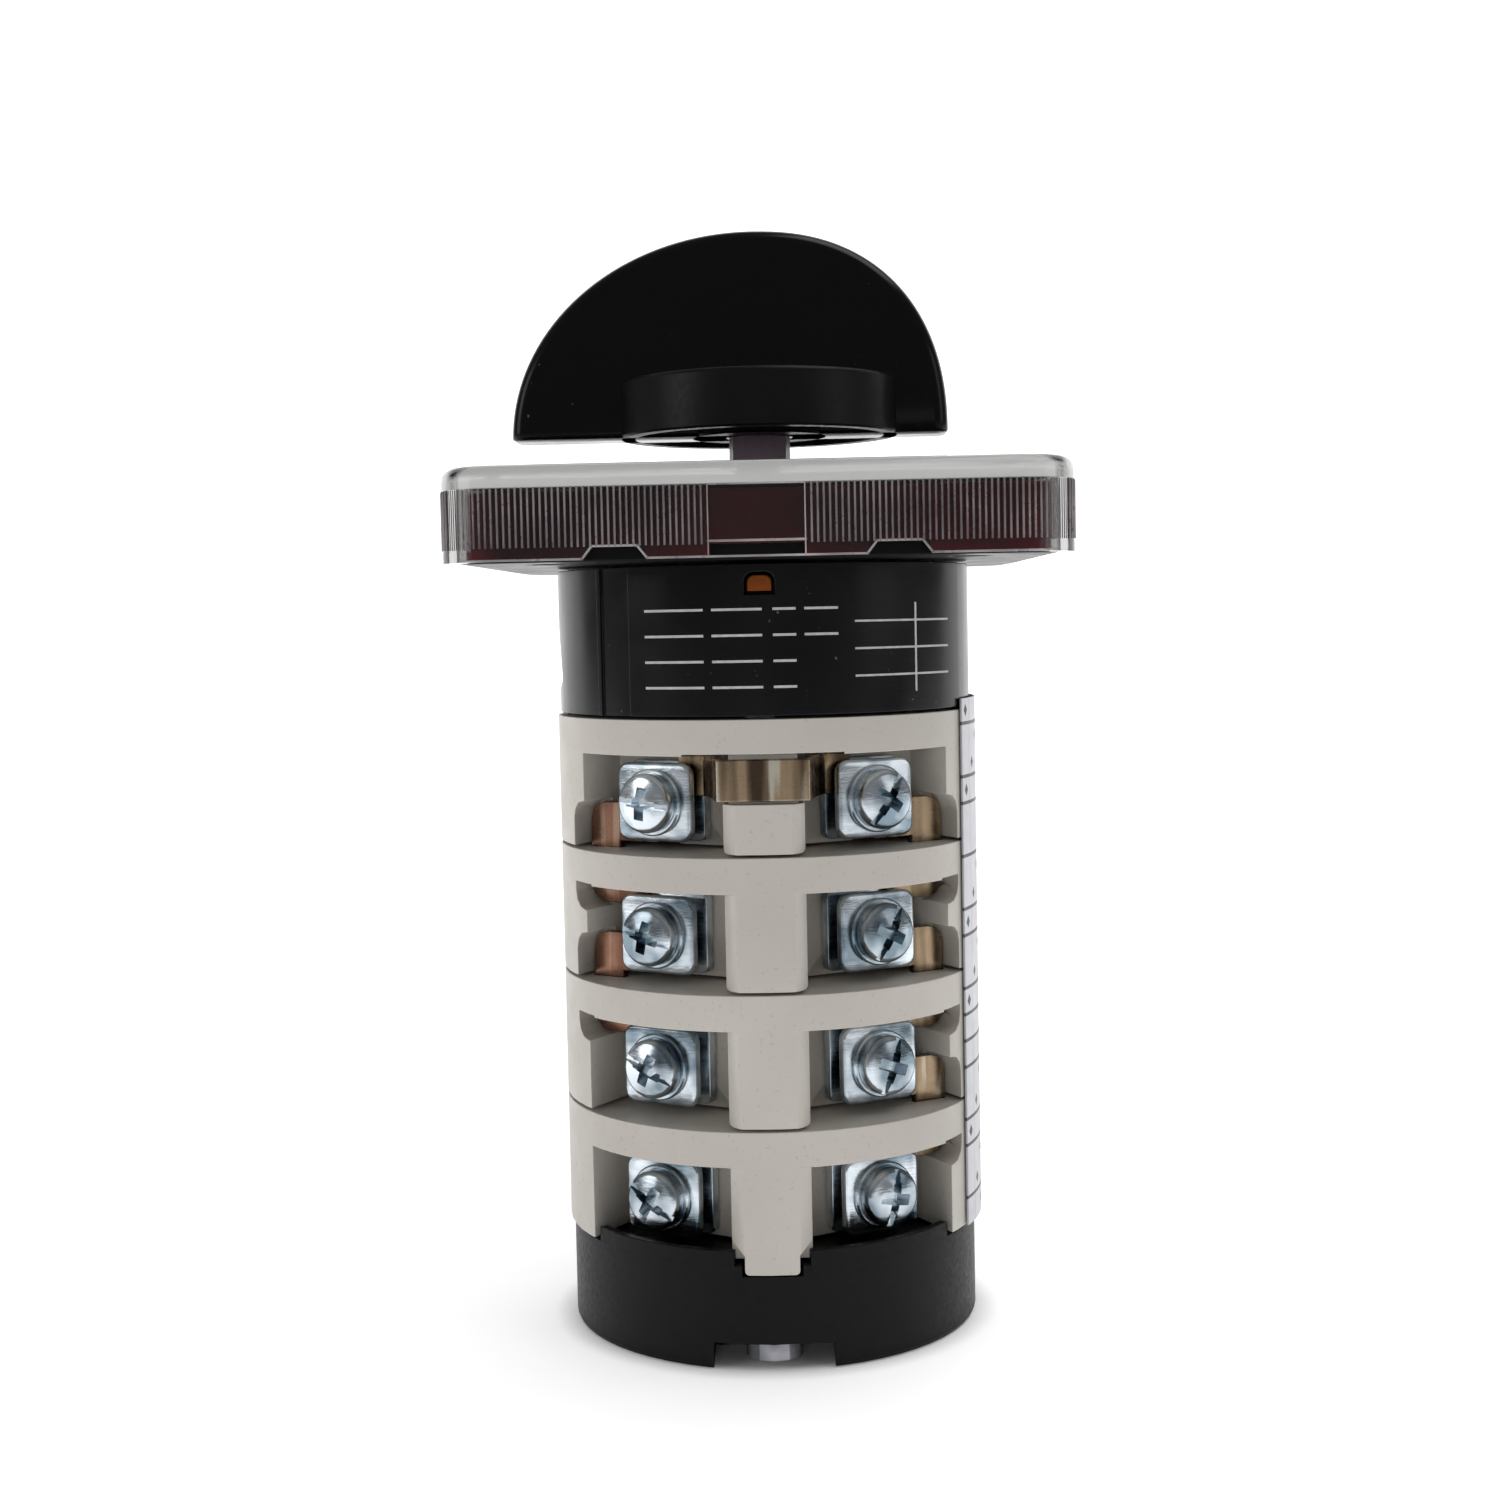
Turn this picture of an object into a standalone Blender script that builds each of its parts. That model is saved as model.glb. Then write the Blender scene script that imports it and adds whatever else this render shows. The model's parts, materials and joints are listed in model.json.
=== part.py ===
"""A four-deck rotary cam switch with its handle, clear front cover and rear cap.

The switch stands on its rear cap. +Z runs along the shaft towards the handle, the
front terminals point to -Y and the long end of the handle points to -X. Lengths are
in metres. Shapes that repeat around the switch are made once, for the right front
pocket, and mirrored into the others.
"""

import math

import bmesh
import bpy
from mathutils import Matrix

MM = 0.001

# Fits
SEAT_GAP = 0.3 * MM
SLIDE_GAP = 0.3 * MM
WELD = 0.001 * MM
CUT_MARGIN = 1.0 * MM

# Roundness of turned pieces in sides, and of arcs in points
BODY_SIDES = 60
COLLAR_SIDES = 40
CAVITY_SIDES = 32
CAM_BORE_SIDES = 20
HEAD_SIDES = 16
BORE_SIDES = 12
SMALL_SIDES = 8
PANEL_STEPS = 18
HOUSING_BACK_STEPS = 40
LUG_STEPS = 5
LIP_STEPS = 7
LABEL_STEPS = 9
SMOOTH_ANGLE = math.radians(35)

# Contact decks; a share is of the deck's radius
DECK_COUNT = 4
DECK_RADIUS = 21.5 * MM
DECK_PITCH = 13.2 * MM
BAND_HEIGHT = 3.8 * MM
WEB_THICKNESS = 1.8 * MM
PILLAR_WIDTH_SHARE = 0.3628
PILLAR_CHAMFER = 1.0 * MM
CHAMBER_END_WALL = 2.0 * MM
CHAMBER_HALF_WIDTH_SHARE = 0.2605
CAM_BORE_SHARE = 0.3535

# Terminal pockets: measured along the screw's own direction, out from the shaft
SCREW_ANGLE = math.radians(30)
SCREW_FROM_WALL_SHARE = 0.3135
SCREW_HEIGHT = 4.5 * MM
POCKET_DEPTH_SHARE = 0.4093
POCKET_WALL_SHARE = 0.453
CONTACT_BAR_THICKNESS = 1.2 * MM
CONTACT_BAR_WIDTH_SHARE = 0.4
CONTACT_BAR_TALL = 8.0 * MM
WIRE_GAP = 1.6 * MM
CLAMP_THICKNESS = 1.0 * MM
CLAMP_WIDTH_SHARE = 0.4
CLAMP_TALL = 7.8 * MM
CLAMP_CORNER = 1.1 * MM
WASHER_RADIUS = 3.4 * MM
WASHER_THICKNESS = 0.6 * MM
SCREW_HEAD_RADIUS = 3.0 * MM
SCREW_SLOT_WIDTH = 1.0 * MM
SCREW_SLOT_DEPTH = 0.9 * MM
SCREW_SLOT_ANGLE = math.radians(75)
SCREW_HEAD_HEIGHT = 2.0 * MM
SCREW_SHANK_RADIUS = 1.6 * MM

# Fixed and moving contacts
LUG_THICKNESS = 1.2 * MM
LUG_HEIGHT = 3.2 * MM
LUG_TIP_SHARE = 0.1209
BUTTON_RADIUS = 1.3 * MM
BUTTON_THICKNESS = 0.5 * MM
BUTTON_SPREAD_SHARE = 0.186
OPEN_GAP = 1.0 * MM
BRIDGE_THICKNESS = 1.1 * MM
BRIDGE_HALF_LENGTH_SHARE = 0.2326
BRIDGE_HEIGHT = 3.0 * MM
CARRIER_WIDTH_SHARE = 0.1581
CARRIER_NOSE_WIDTH_SHARE = 0.186
CARRIER_TAIL = 1.3 * MM
SPRING_SPACE_SHARE = 0.2186
GUIDE_DEPTH = 0.8 * MM
SPIGOT_RADIUS = 1.0 * MM
SPIGOT_LENGTH = 1.4 * MM
SPRING_RADIUS = 1.65 * MM
SPRING_WIRE_RADIUS = 0.25 * MM
SPRING_TURNS = 3
SPRING_POINTS_PER_TURN = 6

# Rotor
TURN_LIMIT = math.radians(60)
CARRIER_TRAVEL = 0.9 * MM
SHAFT_SQUARE_SHARE = 0.2326
STEM_RADIUS = 3.15 * MM
HANDLE_SQUARE = 4.4 * MM
CAM_TO_BORE = 1.8 * MM
CAM_THICKNESS = 3.8 * MM
CAM_SPIRAL_END = math.radians(75)
CAM_OUTLINE_POINTS = 24
HUB_RADIUS_SHARE = 0.2047
STAR_SHARE = 0.4
STAR_WAVE = 0.9 * MM
STAR_LOBES = 6
STAR_OUTLINE_POINTS = 36
STAR_THICKNESS_SHARE = 0.2778
STAR_CLEARANCE_SHARE = 0.1806
STOP_LUG_TO_BOSS = 1.3 * MM
STOP_LUG_THICKNESS_SHARE = 0.2083
STOP_LUG_HALF_ANGLE = math.radians(12)
STOP_RIB_WIDTH = 1.8 * MM
STOP_RIB_OVERLAP = 2.0 * MM
STOP_PLAY = 0.45 * MM
DETENT_THICKNESS = 0.6 * MM
DETENT_HEIGHT = 3.2 * MM
DETENT_LENGTH_SHARE = 0.605
DETENT_SPREAD = 1.5 * MM
DETENT_POST_WIDTH = 2.4 * MM

# Rear cap
CAP_STEP = 0.4 * MM
CAP_HEIGHT = 10.3 * MM
CAP_LIP_HEIGHT = 1.5 * MM
CAP_LIP_THICKNESS = 0.8 * MM
CAP_EDGE_BEVEL = 0.5 * MM
CAP_SLOT_WIDTH_SHARE = 0.5488
CAP_SLOT_HEIGHT = 2.65 * MM
CAP_SLOT_BEHIND_BOLT = 4.2 * MM
BEARING_DEPTH = 6.0 * MM
TONGUE_WIDTH_SHARE = 0.2465
TONGUE_DROP = 1.0 * MM
TONGUE_THICKNESS = 2.2 * MM

# Tie bolts
BOLT_INSET = 4.1 * MM
BOLT_RADIUS = 1.65 * MM
BOLT_HEAD_RADIUS = 2.9 * MM
BOLT_HEAD_HEIGHT = 1.6 * MM
BOLT_BELOW_HOUSING_TOP = 4.3 * MM

# Mechanism housing
HOUSING_HEIGHT = 14.4 * MM
HOUSING_WALL = 2.7 * MM
HOUSING_CEILING = 2.2 * MM
HOUSING_STEP = 0.25 * MM
HOUSING_BOSS_RADIUS = 3.6 * MM
WINDOW_STEPS = 4
PANEL_LEFT_ANGLE = math.radians(-36.5)
PANEL_RIGHT_ANGLE = math.radians(66)
RIDGE_ANGLE = math.radians(-47.6)
RIDGE_WIDTH_ANGLE = math.radians(1.6)
GRIP_RECESS_DEPTH = 0.8 * MM
GRIP_RECESS_WIDTH = 11.0 * MM
GRIP_RECESS_FOOT = 1.9 * MM
GRIP_RECESS_DEEPEST = 3.4 * MM
GRIP_RECESS_TOP = 11.2 * MM
TAB_WINDOW_WIDTH = 2.9 * MM
TAB_WINDOW_HEIGHT = 2.1 * MM
TAB_WINDOW_HEADROOM = 0.8 * MM
TAB_CORNER_SHARE = 0.3
TAB_POCKET_DEPTH = 5.0 * MM
TAB_LENGTH = 3.1 * MM
TAB_RECESS = 0.2 * MM

# Front plate, dial and clear cover
PLATE_CORNER = 4.2 * MM
PLATE_HEIGHT = 6.4 * MM
PLATE_FLOOR = 2.4 * MM
PLATE_WALL = 2.0 * MM
PLATE_HUB_RADIUS = 8.0 * MM
PLATE_SCREW_INSET = 7.3 * MM
PLATE_SCREW_RADIUS = 2.1 * MM
DIAL_THICKNESS = 0.5 * MM
DIAL_HOLE_RADIUS = 4.0 * MM
COVER_SIDE = 58.8 * MM
COVER_WALL = 1.7 * MM
COVER_CORNER = 5.5 * MM
COVER_TOP_THICKNESS = 1.4 * MM
COVER_EDGE_BEVEL = 1.4 * MM
COVER_PLATE_GAP = 0.4 * MM
COVER_PANEL_WIDTH = 8.6 * MM
COVER_PANEL_DEPTH = 0.3 * MM
COVER_PANEL_HEIGHT = 6.5 * MM
COVER_NOTCH_SHARE = 0.2194
COVER_NOTCH_WIDTH = 5.7 * MM
COVER_NOTCH_TOP_WIDTH = 3.95 * MM
COVER_NOTCH_HEIGHT = 1.2 * MM

# Handle
HANDLE_CLEARANCE = 4.3 * MM
COLLAR_RADIUS = 14.5 * MM
COLLAR_HEIGHT = 5.8 * MM
COLLAR_EDGE = 0.5 * MM
RECESS_OUTER_RADIUS = 12.7 * MM
RECESS_DEPTH = 2.5 * MM
HANDLE_HUB_RADIUS = 7.1 * MM
BLADE_LEFT_REACH = 25.5 * MM
BLADE_RIGHT_REACH = 19.4 * MM
BLADE_HEIGHT = 20.8 * MM
BLADE_PEAK_OFFSET = -0.6 * MM
BLADE_POINTER_POWER = 2.0
BLADE_HEEL_POWER = 2.3
BLADE_THICKNESS = 6.8 * MM
BLADE_EDGE = 1.0 * MM
BLADE_CURVE_POINTS = 10
SHAFT_IN_HANDLE = 9.5 * MM

# Jumper links and label
LINK_THICKNESS = 0.9 * MM
LINK_SPINE_INSIDE_SHARE = 0.0809
LINK_SPINE_OUTSIDE_SHARE = 0.0865
LINK_TAB_TO_SCREW = 2.3 * MM
LINK_CORNER = 1.8 * MM
LINK_RISE = 4.3 * MM
LINK_DROP = 2.2 * MM
LINK_CLEARANCE = 0.3 * MM
LINK_SLOT_CLEARANCE = 0.24 * MM
LINK_RELIEF = 0.2 * MM
BRIDGE_LINK_HEIGHT = 4.0 * MM
BRIDGE_TAB_TO_SCREW = 0.5 * MM
BRIDGE_TAB_LENGTH_SHARE = 0.1488
BRIDGE_FLARE = 0.7 * MM
SEAT_PILLAR_HALF_WIDTH_SHARE = 0.1535
SEAT_DEPTH = 1.3 * MM
LABEL_THICKNESS = 0.2 * MM
LABEL_GAP = 0.15 * MM
LABEL_HALF_ANGLE = math.radians(25)
LABEL_TOP_OVERLAP = 0.8 * MM

# Where jumper links leave or enter a pocket, by deck, counted from the handle
LEFT_LINKS = (1, 2)
RIGHT_LINKS = (1, 2, 3)
BRIDGED_DECK = 1

# Places in a deck that follow from its radius
PILLAR_WIDTH = PILLAR_WIDTH_SHARE * DECK_RADIUS
CHAMBER_HALF_WIDTH = CHAMBER_HALF_WIDTH_SHARE * DECK_RADIUS
SCREW_FROM_WALL = SCREW_FROM_WALL_SHARE * DECK_RADIUS
POCKET_DEPTH = POCKET_DEPTH_SHARE * DECK_RADIUS
CONTACT_BAR_WIDTH = CONTACT_BAR_WIDTH_SHARE * DECK_RADIUS
CLAMP_WIDTH = CLAMP_WIDTH_SHARE * DECK_RADIUS
LUG_TIP = LUG_TIP_SHARE * DECK_RADIUS
BUTTON_SPREAD = BUTTON_SPREAD_SHARE * DECK_RADIUS
BRIDGE_HALF_LENGTH = BRIDGE_HALF_LENGTH_SHARE * DECK_RADIUS
CARRIER_WIDTH = CARRIER_WIDTH_SHARE * DECK_RADIUS
CARRIER_NOSE_WIDTH = CARRIER_NOSE_WIDTH_SHARE * DECK_RADIUS
SPRING_SPACE = SPRING_SPACE_SHARE * DECK_RADIUS
HUB_RADIUS = HUB_RADIUS_SHARE * DECK_RADIUS
CAP_SLOT_WIDTH = CAP_SLOT_WIDTH_SHARE * DECK_RADIUS
TONGUE_WIDTH = TONGUE_WIDTH_SHARE * DECK_RADIUS
LINK_SPINE_INSIDE = LINK_SPINE_INSIDE_SHARE * DECK_RADIUS
LINK_SPINE_OUTSIDE = LINK_SPINE_OUTSIDE_SHARE * DECK_RADIUS
SEAT_PILLAR_HALF_WIDTH = SEAT_PILLAR_HALF_WIDTH_SHARE * DECK_RADIUS
BRIDGE_TAB_LENGTH = BRIDGE_TAB_LENGTH_SHARE * DECK_RADIUS
SHAFT_SQUARE = SHAFT_SQUARE_SHARE * DECK_RADIUS
CHAMBER_HALF_LENGTH = DECK_RADIUS - CHAMBER_END_WALL
CAM_BORE_RADIUS = CAM_BORE_SHARE * DECK_RADIUS
CAM_MEAN_RADIUS = CAM_BORE_RADIUS - CAM_TO_BORE
POCKET_FLOOR = DECK_RADIUS - POCKET_DEPTH
POCKET_WALL = POCKET_WALL_SHARE * DECK_RADIUS
SCREW_OFFSET = POCKET_WALL - SCREW_FROM_WALL
LINK_SPINE_INNER = POCKET_WALL - LINK_SPINE_INSIDE
LINK_SPINE_OUTER = POCKET_WALL + LINK_SPINE_OUTSIDE
LINK_TAB_END = SCREW_OFFSET + LINK_TAB_TO_SCREW
BOLT_SPACING = DECK_RADIUS - BOLT_INSET
CAP_RADIUS = DECK_RADIUS - CAP_STEP
CAP_SLOT_INNER = BOLT_SPACING - CAP_SLOT_BEHIND_BOLT
STAR_RADIUS = STAR_SHARE * DECK_RADIUS
STOP_LUG_REACH = BOLT_SPACING - HOUSING_BOSS_RADIUS - STOP_LUG_TO_BOSS
DETENT_HALF_LENGTH = DETENT_LENGTH_SHARE * DECK_RADIUS

# Sizes that follow from the cover's side
PLATE_SIDE = COVER_SIDE - 2 * COVER_WALL - 2 * COVER_PLATE_GAP
PLATE_SCREW_SPACING = PLATE_SIDE - 2 * PLATE_SCREW_INSET
COVER_NOTCH_OFFSET = COVER_NOTCH_SHARE * COVER_SIDE

# Heights that follow from the housing's height
STAR_CLEARANCE = STAR_CLEARANCE_SHARE * HOUSING_HEIGHT
STAR_THICKNESS = STAR_THICKNESS_SHARE * HOUSING_HEIGHT
STOP_LUG_THICKNESS = STOP_LUG_THICKNESS_SHARE * HOUSING_HEIGHT
BOLT_GRIP_IN_HOUSING = HOUSING_HEIGHT - BOLT_BELOW_HOUSING_TOP
TAB_WINDOW_SILL = HOUSING_HEIGHT - TAB_WINDOW_HEADROOM - TAB_WINDOW_HEIGHT

# Levels that follow from the sizes above
BLOCK_HEIGHT = DECK_PITCH - SEAT_GAP
POCKET_HEIGHT = DECK_PITCH - BAND_HEIGHT
STACK_BOTTOM = CAP_HEIGHT + SEAT_GAP
HOUSING_BOTTOM = STACK_BOTTOM + DECK_COUNT * DECK_PITCH
HOUSING_TOP = HOUSING_BOTTOM + HOUSING_HEIGHT
PLATE_BOTTOM = HOUSING_TOP + SEAT_GAP
PLATE_TOP = PLATE_BOTTOM + PLATE_HEIGHT
DIAL_BOTTOM = PLATE_TOP + SEAT_GAP
COVER_UNDERSIDE = DIAL_BOTTOM + DIAL_THICKNESS + SEAT_GAP
COVER_TOP = COVER_UNDERSIDE + COVER_TOP_THICKNESS
HANDLE_BOTTOM = COVER_TOP + HANDLE_CLEARANCE
SHAFT_BOTTOM = CAP_HEIGHT - BEARING_DEPTH + SEAT_GAP
HOUSING_CEILING_LEVEL = HOUSING_TOP - HOUSING_CEILING
STAR_BOTTOM = HOUSING_BOTTOM + STAR_CLEARANCE
STOP_BOTTOM = STAR_BOTTOM + STAR_THICKNESS + SEAT_GAP

# Depths in a pocket, along the screw
BAR_BACK = POCKET_FLOOR + SEAT_GAP
BAR_FRONT = BAR_BACK + CONTACT_BAR_THICKNESS
CLAMP_BACK = BAR_FRONT + WIRE_GAP
CLAMP_FRONT = CLAMP_BACK + CLAMP_THICKNESS
WASHER_FRONT = CLAMP_FRONT + WASHER_THICKNESS
HEAD_FRONT = WASHER_FRONT + SCREW_HEAD_HEIGHT
LINK_MIDDLE = (BAR_FRONT + CLAMP_BACK) / 2

# Distances from the shaft along a carrier, from the chamber's end inwards
SPIRAL_RATE = CARRIER_TRAVEL / TURN_LIMIT
CAM_CONTACT = CAM_MEAN_RADIUS + SPIRAL_RATE * SPIRAL_RATE / (2 * CAM_MEAN_RADIUS)
CARRIER_FACE = CAM_CONTACT + SLIDE_GAP
CARRIER_END = CHAMBER_HALF_LENGTH - SPRING_SPACE
BRIDGE_OUTER_FACE = CARRIER_END - CARRIER_TAIL
BRIDGE_INNER_FACE = BRIDGE_OUTER_FACE - BRIDGE_THICKNESS
MOVING_BUTTON_FACE = BRIDGE_INNER_FACE - BUTTON_THICKNESS
FIXED_BUTTON_FACE = MOVING_BUTTON_FACE - OPEN_GAP
LUG_OUTER_FACE = FIXED_BUTTON_FACE - BUTTON_THICKNESS
LUG_INNER_FACE = LUG_OUTER_FACE - LUG_THICKNESS


def clear_scene():
    for obj in list(bpy.data.objects):
        bpy.data.objects.remove(obj)


def make_collection(name):
    collection = bpy.data.collections.new(name)
    bpy.context.scene.collection.children.link(collection)
    return collection


def blank(name, bm):
    """A finished bmesh as an object among the blanks and cutters."""
    mesh = bpy.data.meshes.new(name)
    bm.to_mesh(mesh)
    bm.free()
    obj = bpy.data.objects.new(f"{name}_blank", mesh)
    obj.hide_render = True
    obj.display_type = "WIRE"
    bpy.data.collections["cutters"].objects.link(obj)
    return obj


def box(name, x_range, y_range, z_range):
    bm = bmesh.new()
    bmesh.ops.create_cube(bm, size=1)
    ranges = (x_range, y_range, z_range)
    size = [high - low for low, high in ranges]
    middle = [(high + low) / 2 for low, high in ranges]
    bmesh.ops.scale(bm, verts=bm.verts, vec=size)
    bmesh.ops.translate(bm, verts=bm.verts, vec=middle)
    return blank(name, bm)


def cylinder(name, radius, z_range, sides, centre=(0, 0)):
    low, high = z_range
    bm = bmesh.new()
    bmesh.ops.create_cone(
        bm, cap_ends=True, segments=sides, radius1=radius, radius2=radius, depth=high - low
    )
    bmesh.ops.translate(bm, verts=bm.verts, vec=(*centre, (high + low) / 2))
    return blank(name, bm)


def prism(name, outline, z_range):
    """A flat outline in X and Y, raised over a range of Z."""
    low, high = z_range
    curve = bpy.data.curves.new(name, "CURVE")
    curve.dimensions = "2D"
    curve.fill_mode = "BOTH"
    curve.extrude = (high - low) / 2
    spline = curve.splines.new("POLY")
    spline.points.add(len(outline) - 1)
    for point, (x, y) in zip(spline.points, outline):
        point.co = (x, y, 0, 1)
    spline.use_cyclic_u = True
    holder = bpy.data.objects.new(f"{name}_curve", curve)
    bpy.context.scene.collection.objects.link(holder)
    bpy.context.view_layer.update()
    depsgraph = bpy.context.evaluated_depsgraph_get()
    mesh = bpy.data.meshes.new_from_object(holder.evaluated_get(depsgraph))
    bpy.data.objects.remove(holder)
    bm = bmesh.new()
    bm.from_mesh(mesh)
    bmesh.ops.remove_doubles(bm, verts=bm.verts, dist=WELD)
    bmesh.ops.translate(bm, verts=bm.verts, vec=(0, 0, (high + low) / 2))
    bmesh.ops.recalc_face_normals(bm, faces=bm.faces)
    return blank(name, bm)


def turned(obj, matrix):
    obj.data.transform(matrix)
    return obj


def standing(obj):
    """Turns a prism so that its outline lies in X and Z and its height runs to -Y."""
    return turned(obj, Matrix.Rotation(math.pi / 2, 4, "X"))


def along_x(obj):
    """Turns a shape made along Z so that it lies along X."""
    return turned(obj, Matrix.Rotation(math.pi / 2, 4, "Y"))


def to_pocket(obj):
    """Turns a shape made square to the screw into the right front pocket."""
    return turned(obj, Matrix.Rotation(SCREW_ANGLE, 4, "Z"))


def mirrored(obj, side, face):
    """Mirrors a right front shape: side is 1 right or -1 left, face 1 front or -1 back."""
    obj.data.transform(Matrix.Diagonal((side, face, 1, 1)))
    if side * face < 0:
        obj.data.flip_normals()
    return obj


def combine(target, tool, operation):
    modifier = target.modifiers.new(tool.name, "BOOLEAN")
    modifier.operation = operation
    modifier.solver = "EXACT"
    modifier.object = tool
    return target


def cut(target, *tools):
    for tool in tools:
        combine(target, tool, "DIFFERENCE")
    return target


def join(target, *tools):
    for tool in tools:
        combine(target, tool, "UNION")
    return target


def baked(obj):
    """The mesh of an object with its modifiers applied."""
    bpy.context.view_layer.update()
    depsgraph = bpy.context.evaluated_depsgraph_get()
    mesh = bpy.data.meshes.new_from_object(obj.evaluated_get(depsgraph))
    mesh.name = obj.name
    mesh.shade_smooth()
    mesh.set_sharp_from_angle(angle=SMOOTH_ANGLE)
    return mesh


def finish(name, mesh, material, location=(0, 0, 0)):
    """Places a mesh as a named piece of the switch."""
    if not mesh.materials:
        mesh.materials.append(material)
    mesh.materials[0] = material
    obj = bpy.data.objects.new(name, mesh)
    obj.location = location
    bpy.data.collections["cam_switch"].objects.link(obj)
    return obj


def make_material(name, colour, roughness, metallic=0.0, transmission=0.0):
    material = bpy.data.materials.new(name)
    material.use_nodes = True
    shader = material.node_tree.nodes["Principled BSDF"]
    shader.inputs["Base Color"].default_value = (*colour, 1)
    shader.inputs["Roughness"].default_value = roughness
    shader.inputs["Metallic"].default_value = metallic
    shader.inputs["Transmission Weight"].default_value = transmission
    return material


def arc(radius, start, end, count, centre=(0, 0)):
    """Points on an arc, both ends included."""
    steps = [start + (end - start) * step / (count - 1) for step in range(count)]
    return [(centre[0] + radius * math.cos(a), centre[1] + radius * math.sin(a)) for a in steps]


def rounded_square(side, corner, count=5):
    inner = side / 2 - corner
    points = []
    for turn, (x, y) in enumerate(((inner, inner), (-inner, inner), (-inner, -inner), (inner, -inner))):
        start = turn * math.pi / 2
        points += arc(corner, start, start + math.pi / 2, count, (x, y))
    return points


def pocket_point(across, out):
    """A plan point in the right front pocket, across and along its screw."""
    cosine = math.cos(SCREW_ANGLE)
    sine = math.sin(SCREW_ANGLE)
    return (across * cosine + out * sine, across * sine - out * cosine)


def deck_bottom(deck):
    return STACK_BOTTOM + (DECK_COUNT - deck) * DECK_PITCH


def pocket_outline():
    """Plan of the right front terminal pocket, open to the outside."""
    half = PILLAR_WIDTH / 2
    outside = DECK_RADIUS + CUT_MARGIN
    floor_at_pillar = -(POCKET_FLOOR - half * math.sin(SCREW_ANGLE)) / math.cos(SCREW_ANGLE)
    chamfer_start = -math.sqrt(DECK_RADIUS**2 - half**2) + PILLAR_CHAMFER
    return [
        (half - PILLAR_CHAMFER - CUT_MARGIN, chamfer_start - PILLAR_CHAMFER - CUT_MARGIN),
        (half, chamfer_start),
        (half, floor_at_pillar),
        pocket_point(POCKET_WALL, POCKET_FLOOR),
        pocket_point(POCKET_WALL, outside),
        pocket_point(0, DECK_RADIUS + 4 * CUT_MARGIN),
    ]


def link_notch(side, at_bottom):
    """The knock-out in a side wall that lets a jumper link leave the pocket."""
    inner = POCKET_WALL - CUT_MARGIN
    outer = LINK_SPINE_OUTER + LINK_CLEARANCE
    corner = LINK_CORNER
    if at_bottom:
        low = -CUT_MARGIN
        high = LINK_RISE + LINK_CLEARANCE
        outline = [(inner, low), (outer, low)]
        outline += arc(corner, 0, math.pi / 2, 4, (outer - corner, high - corner))
        outline += [(inner, high)]
    else:
        low = POCKET_HEIGHT - LINK_DROP - LINK_CLEARANCE
        high = POCKET_HEIGHT + LINK_RELIEF
        outline = [(inner, low)]
        outline += arc(corner, -math.pi / 2, 0, 4, (outer - corner, low + corner))
        outline += [(outer, high), (inner, high)]
    depth = (LINK_MIDDLE - LINK_THICKNESS / 2 - LINK_CLEARANCE, DECK_RADIUS + CUT_MARGIN)
    return mirrored(to_pocket(standing(prism("link_notch", outline, depth))), side, 1)


def link_slot(side):
    """The slot in a deck's band that a jumper link passes down through."""
    x_range = (LINK_SPINE_INNER - LINK_SLOT_CLEARANCE, LINK_SPINE_OUTER + LINK_SLOT_CLEARANCE)
    near = LINK_MIDDLE - LINK_THICKNESS / 2 - LINK_SLOT_CLEARANCE
    far = LINK_MIDDLE + LINK_THICKNESS / 2 + LINK_SLOT_CLEARANCE
    slot = box("link_slot", x_range, (-far, -near), (POCKET_HEIGHT - CUT_MARGIN, DECK_PITCH))
    return mirrored(to_pocket(slot), side, 1)


def guide_groove(side, top):
    """The groove in a top face that guides the carrier of the deck above."""
    x_range = (CAM_BORE_RADIUS - CARRIER_TRAVEL, CHAMBER_HALF_LENGTH)
    half = CARRIER_WIDTH / 2 + SLIDE_GAP
    groove = box("guide_groove", x_range, (-half, half), (top - GUIDE_DEPTH, top + CUT_MARGIN))
    return mirrored(groove, side, 1)


def bolt_hole(face, z_range):
    return cylinder(
        "bolt_hole", BOLT_RADIUS + SLIDE_GAP, z_range, SMALL_SIDES, (0, -face * BOLT_SPACING)
    )


def bridge_seat():
    """What the front pillar gives up so that the bridge link can lie across it."""
    level = (POCKET_HEIGHT - BRIDGE_LINK_HEIGHT - 2 * SEAT_GAP, POCKET_HEIGHT + LINK_RELIEF)
    outside = DECK_RADIUS + CUT_MARGIN
    wide = PILLAR_WIDTH
    root = BOLT_SPACING - BOLT_RADIUS
    front = box("seat_front", (-wide, wide), (-outside, SEAT_DEPTH - DECK_RADIUS), level)
    left = box("seat_left", (-wide, -SEAT_PILLAR_HALF_WIDTH), (-outside, -root), level)
    right = box("seat_right", (SEAT_PILLAR_HALF_WIDTH, wide), (-outside, -root), level)
    return front, left, right


def around_tongues():
    """All that the last deck gives up below its foot, but for its two tongues."""
    narrow = TONGUE_WIDTH / 2
    inner = DECK_RADIUS - TONGUE_THICKNESS
    far = DECK_RADIUS + CUT_MARGIN
    half = [(-far, -far), (-narrow, -far), (-narrow, -inner), (narrow, -inner), (narrow, -far), (far, -far)]
    outline = half + [(-x, -y) for x, y in half]
    return prism("around_tongues", outline, (-TONGUE_DROP - CUT_MARGIN, 0))


def tongue_chamfer(side, face):
    """The slanted step between a pillar and the tongue at its foot."""
    narrow = TONGUE_WIDTH / 2
    wide = PILLAR_WIDTH / 2 + CUT_MARGIN
    start = CAP_LIP_HEIGHT - (PILLAR_WIDTH - TONGUE_WIDTH) / 4
    outline = [(narrow, -CUT_MARGIN), (wide, -CUT_MARGIN), (wide, start + wide - narrow), (narrow, start)]
    depth = (DECK_RADIUS - TONGUE_THICKNESS, DECK_RADIUS + CUT_MARGIN)
    return mirrored(standing(prism("tongue_chamfer", outline, depth)), side, face)


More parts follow.
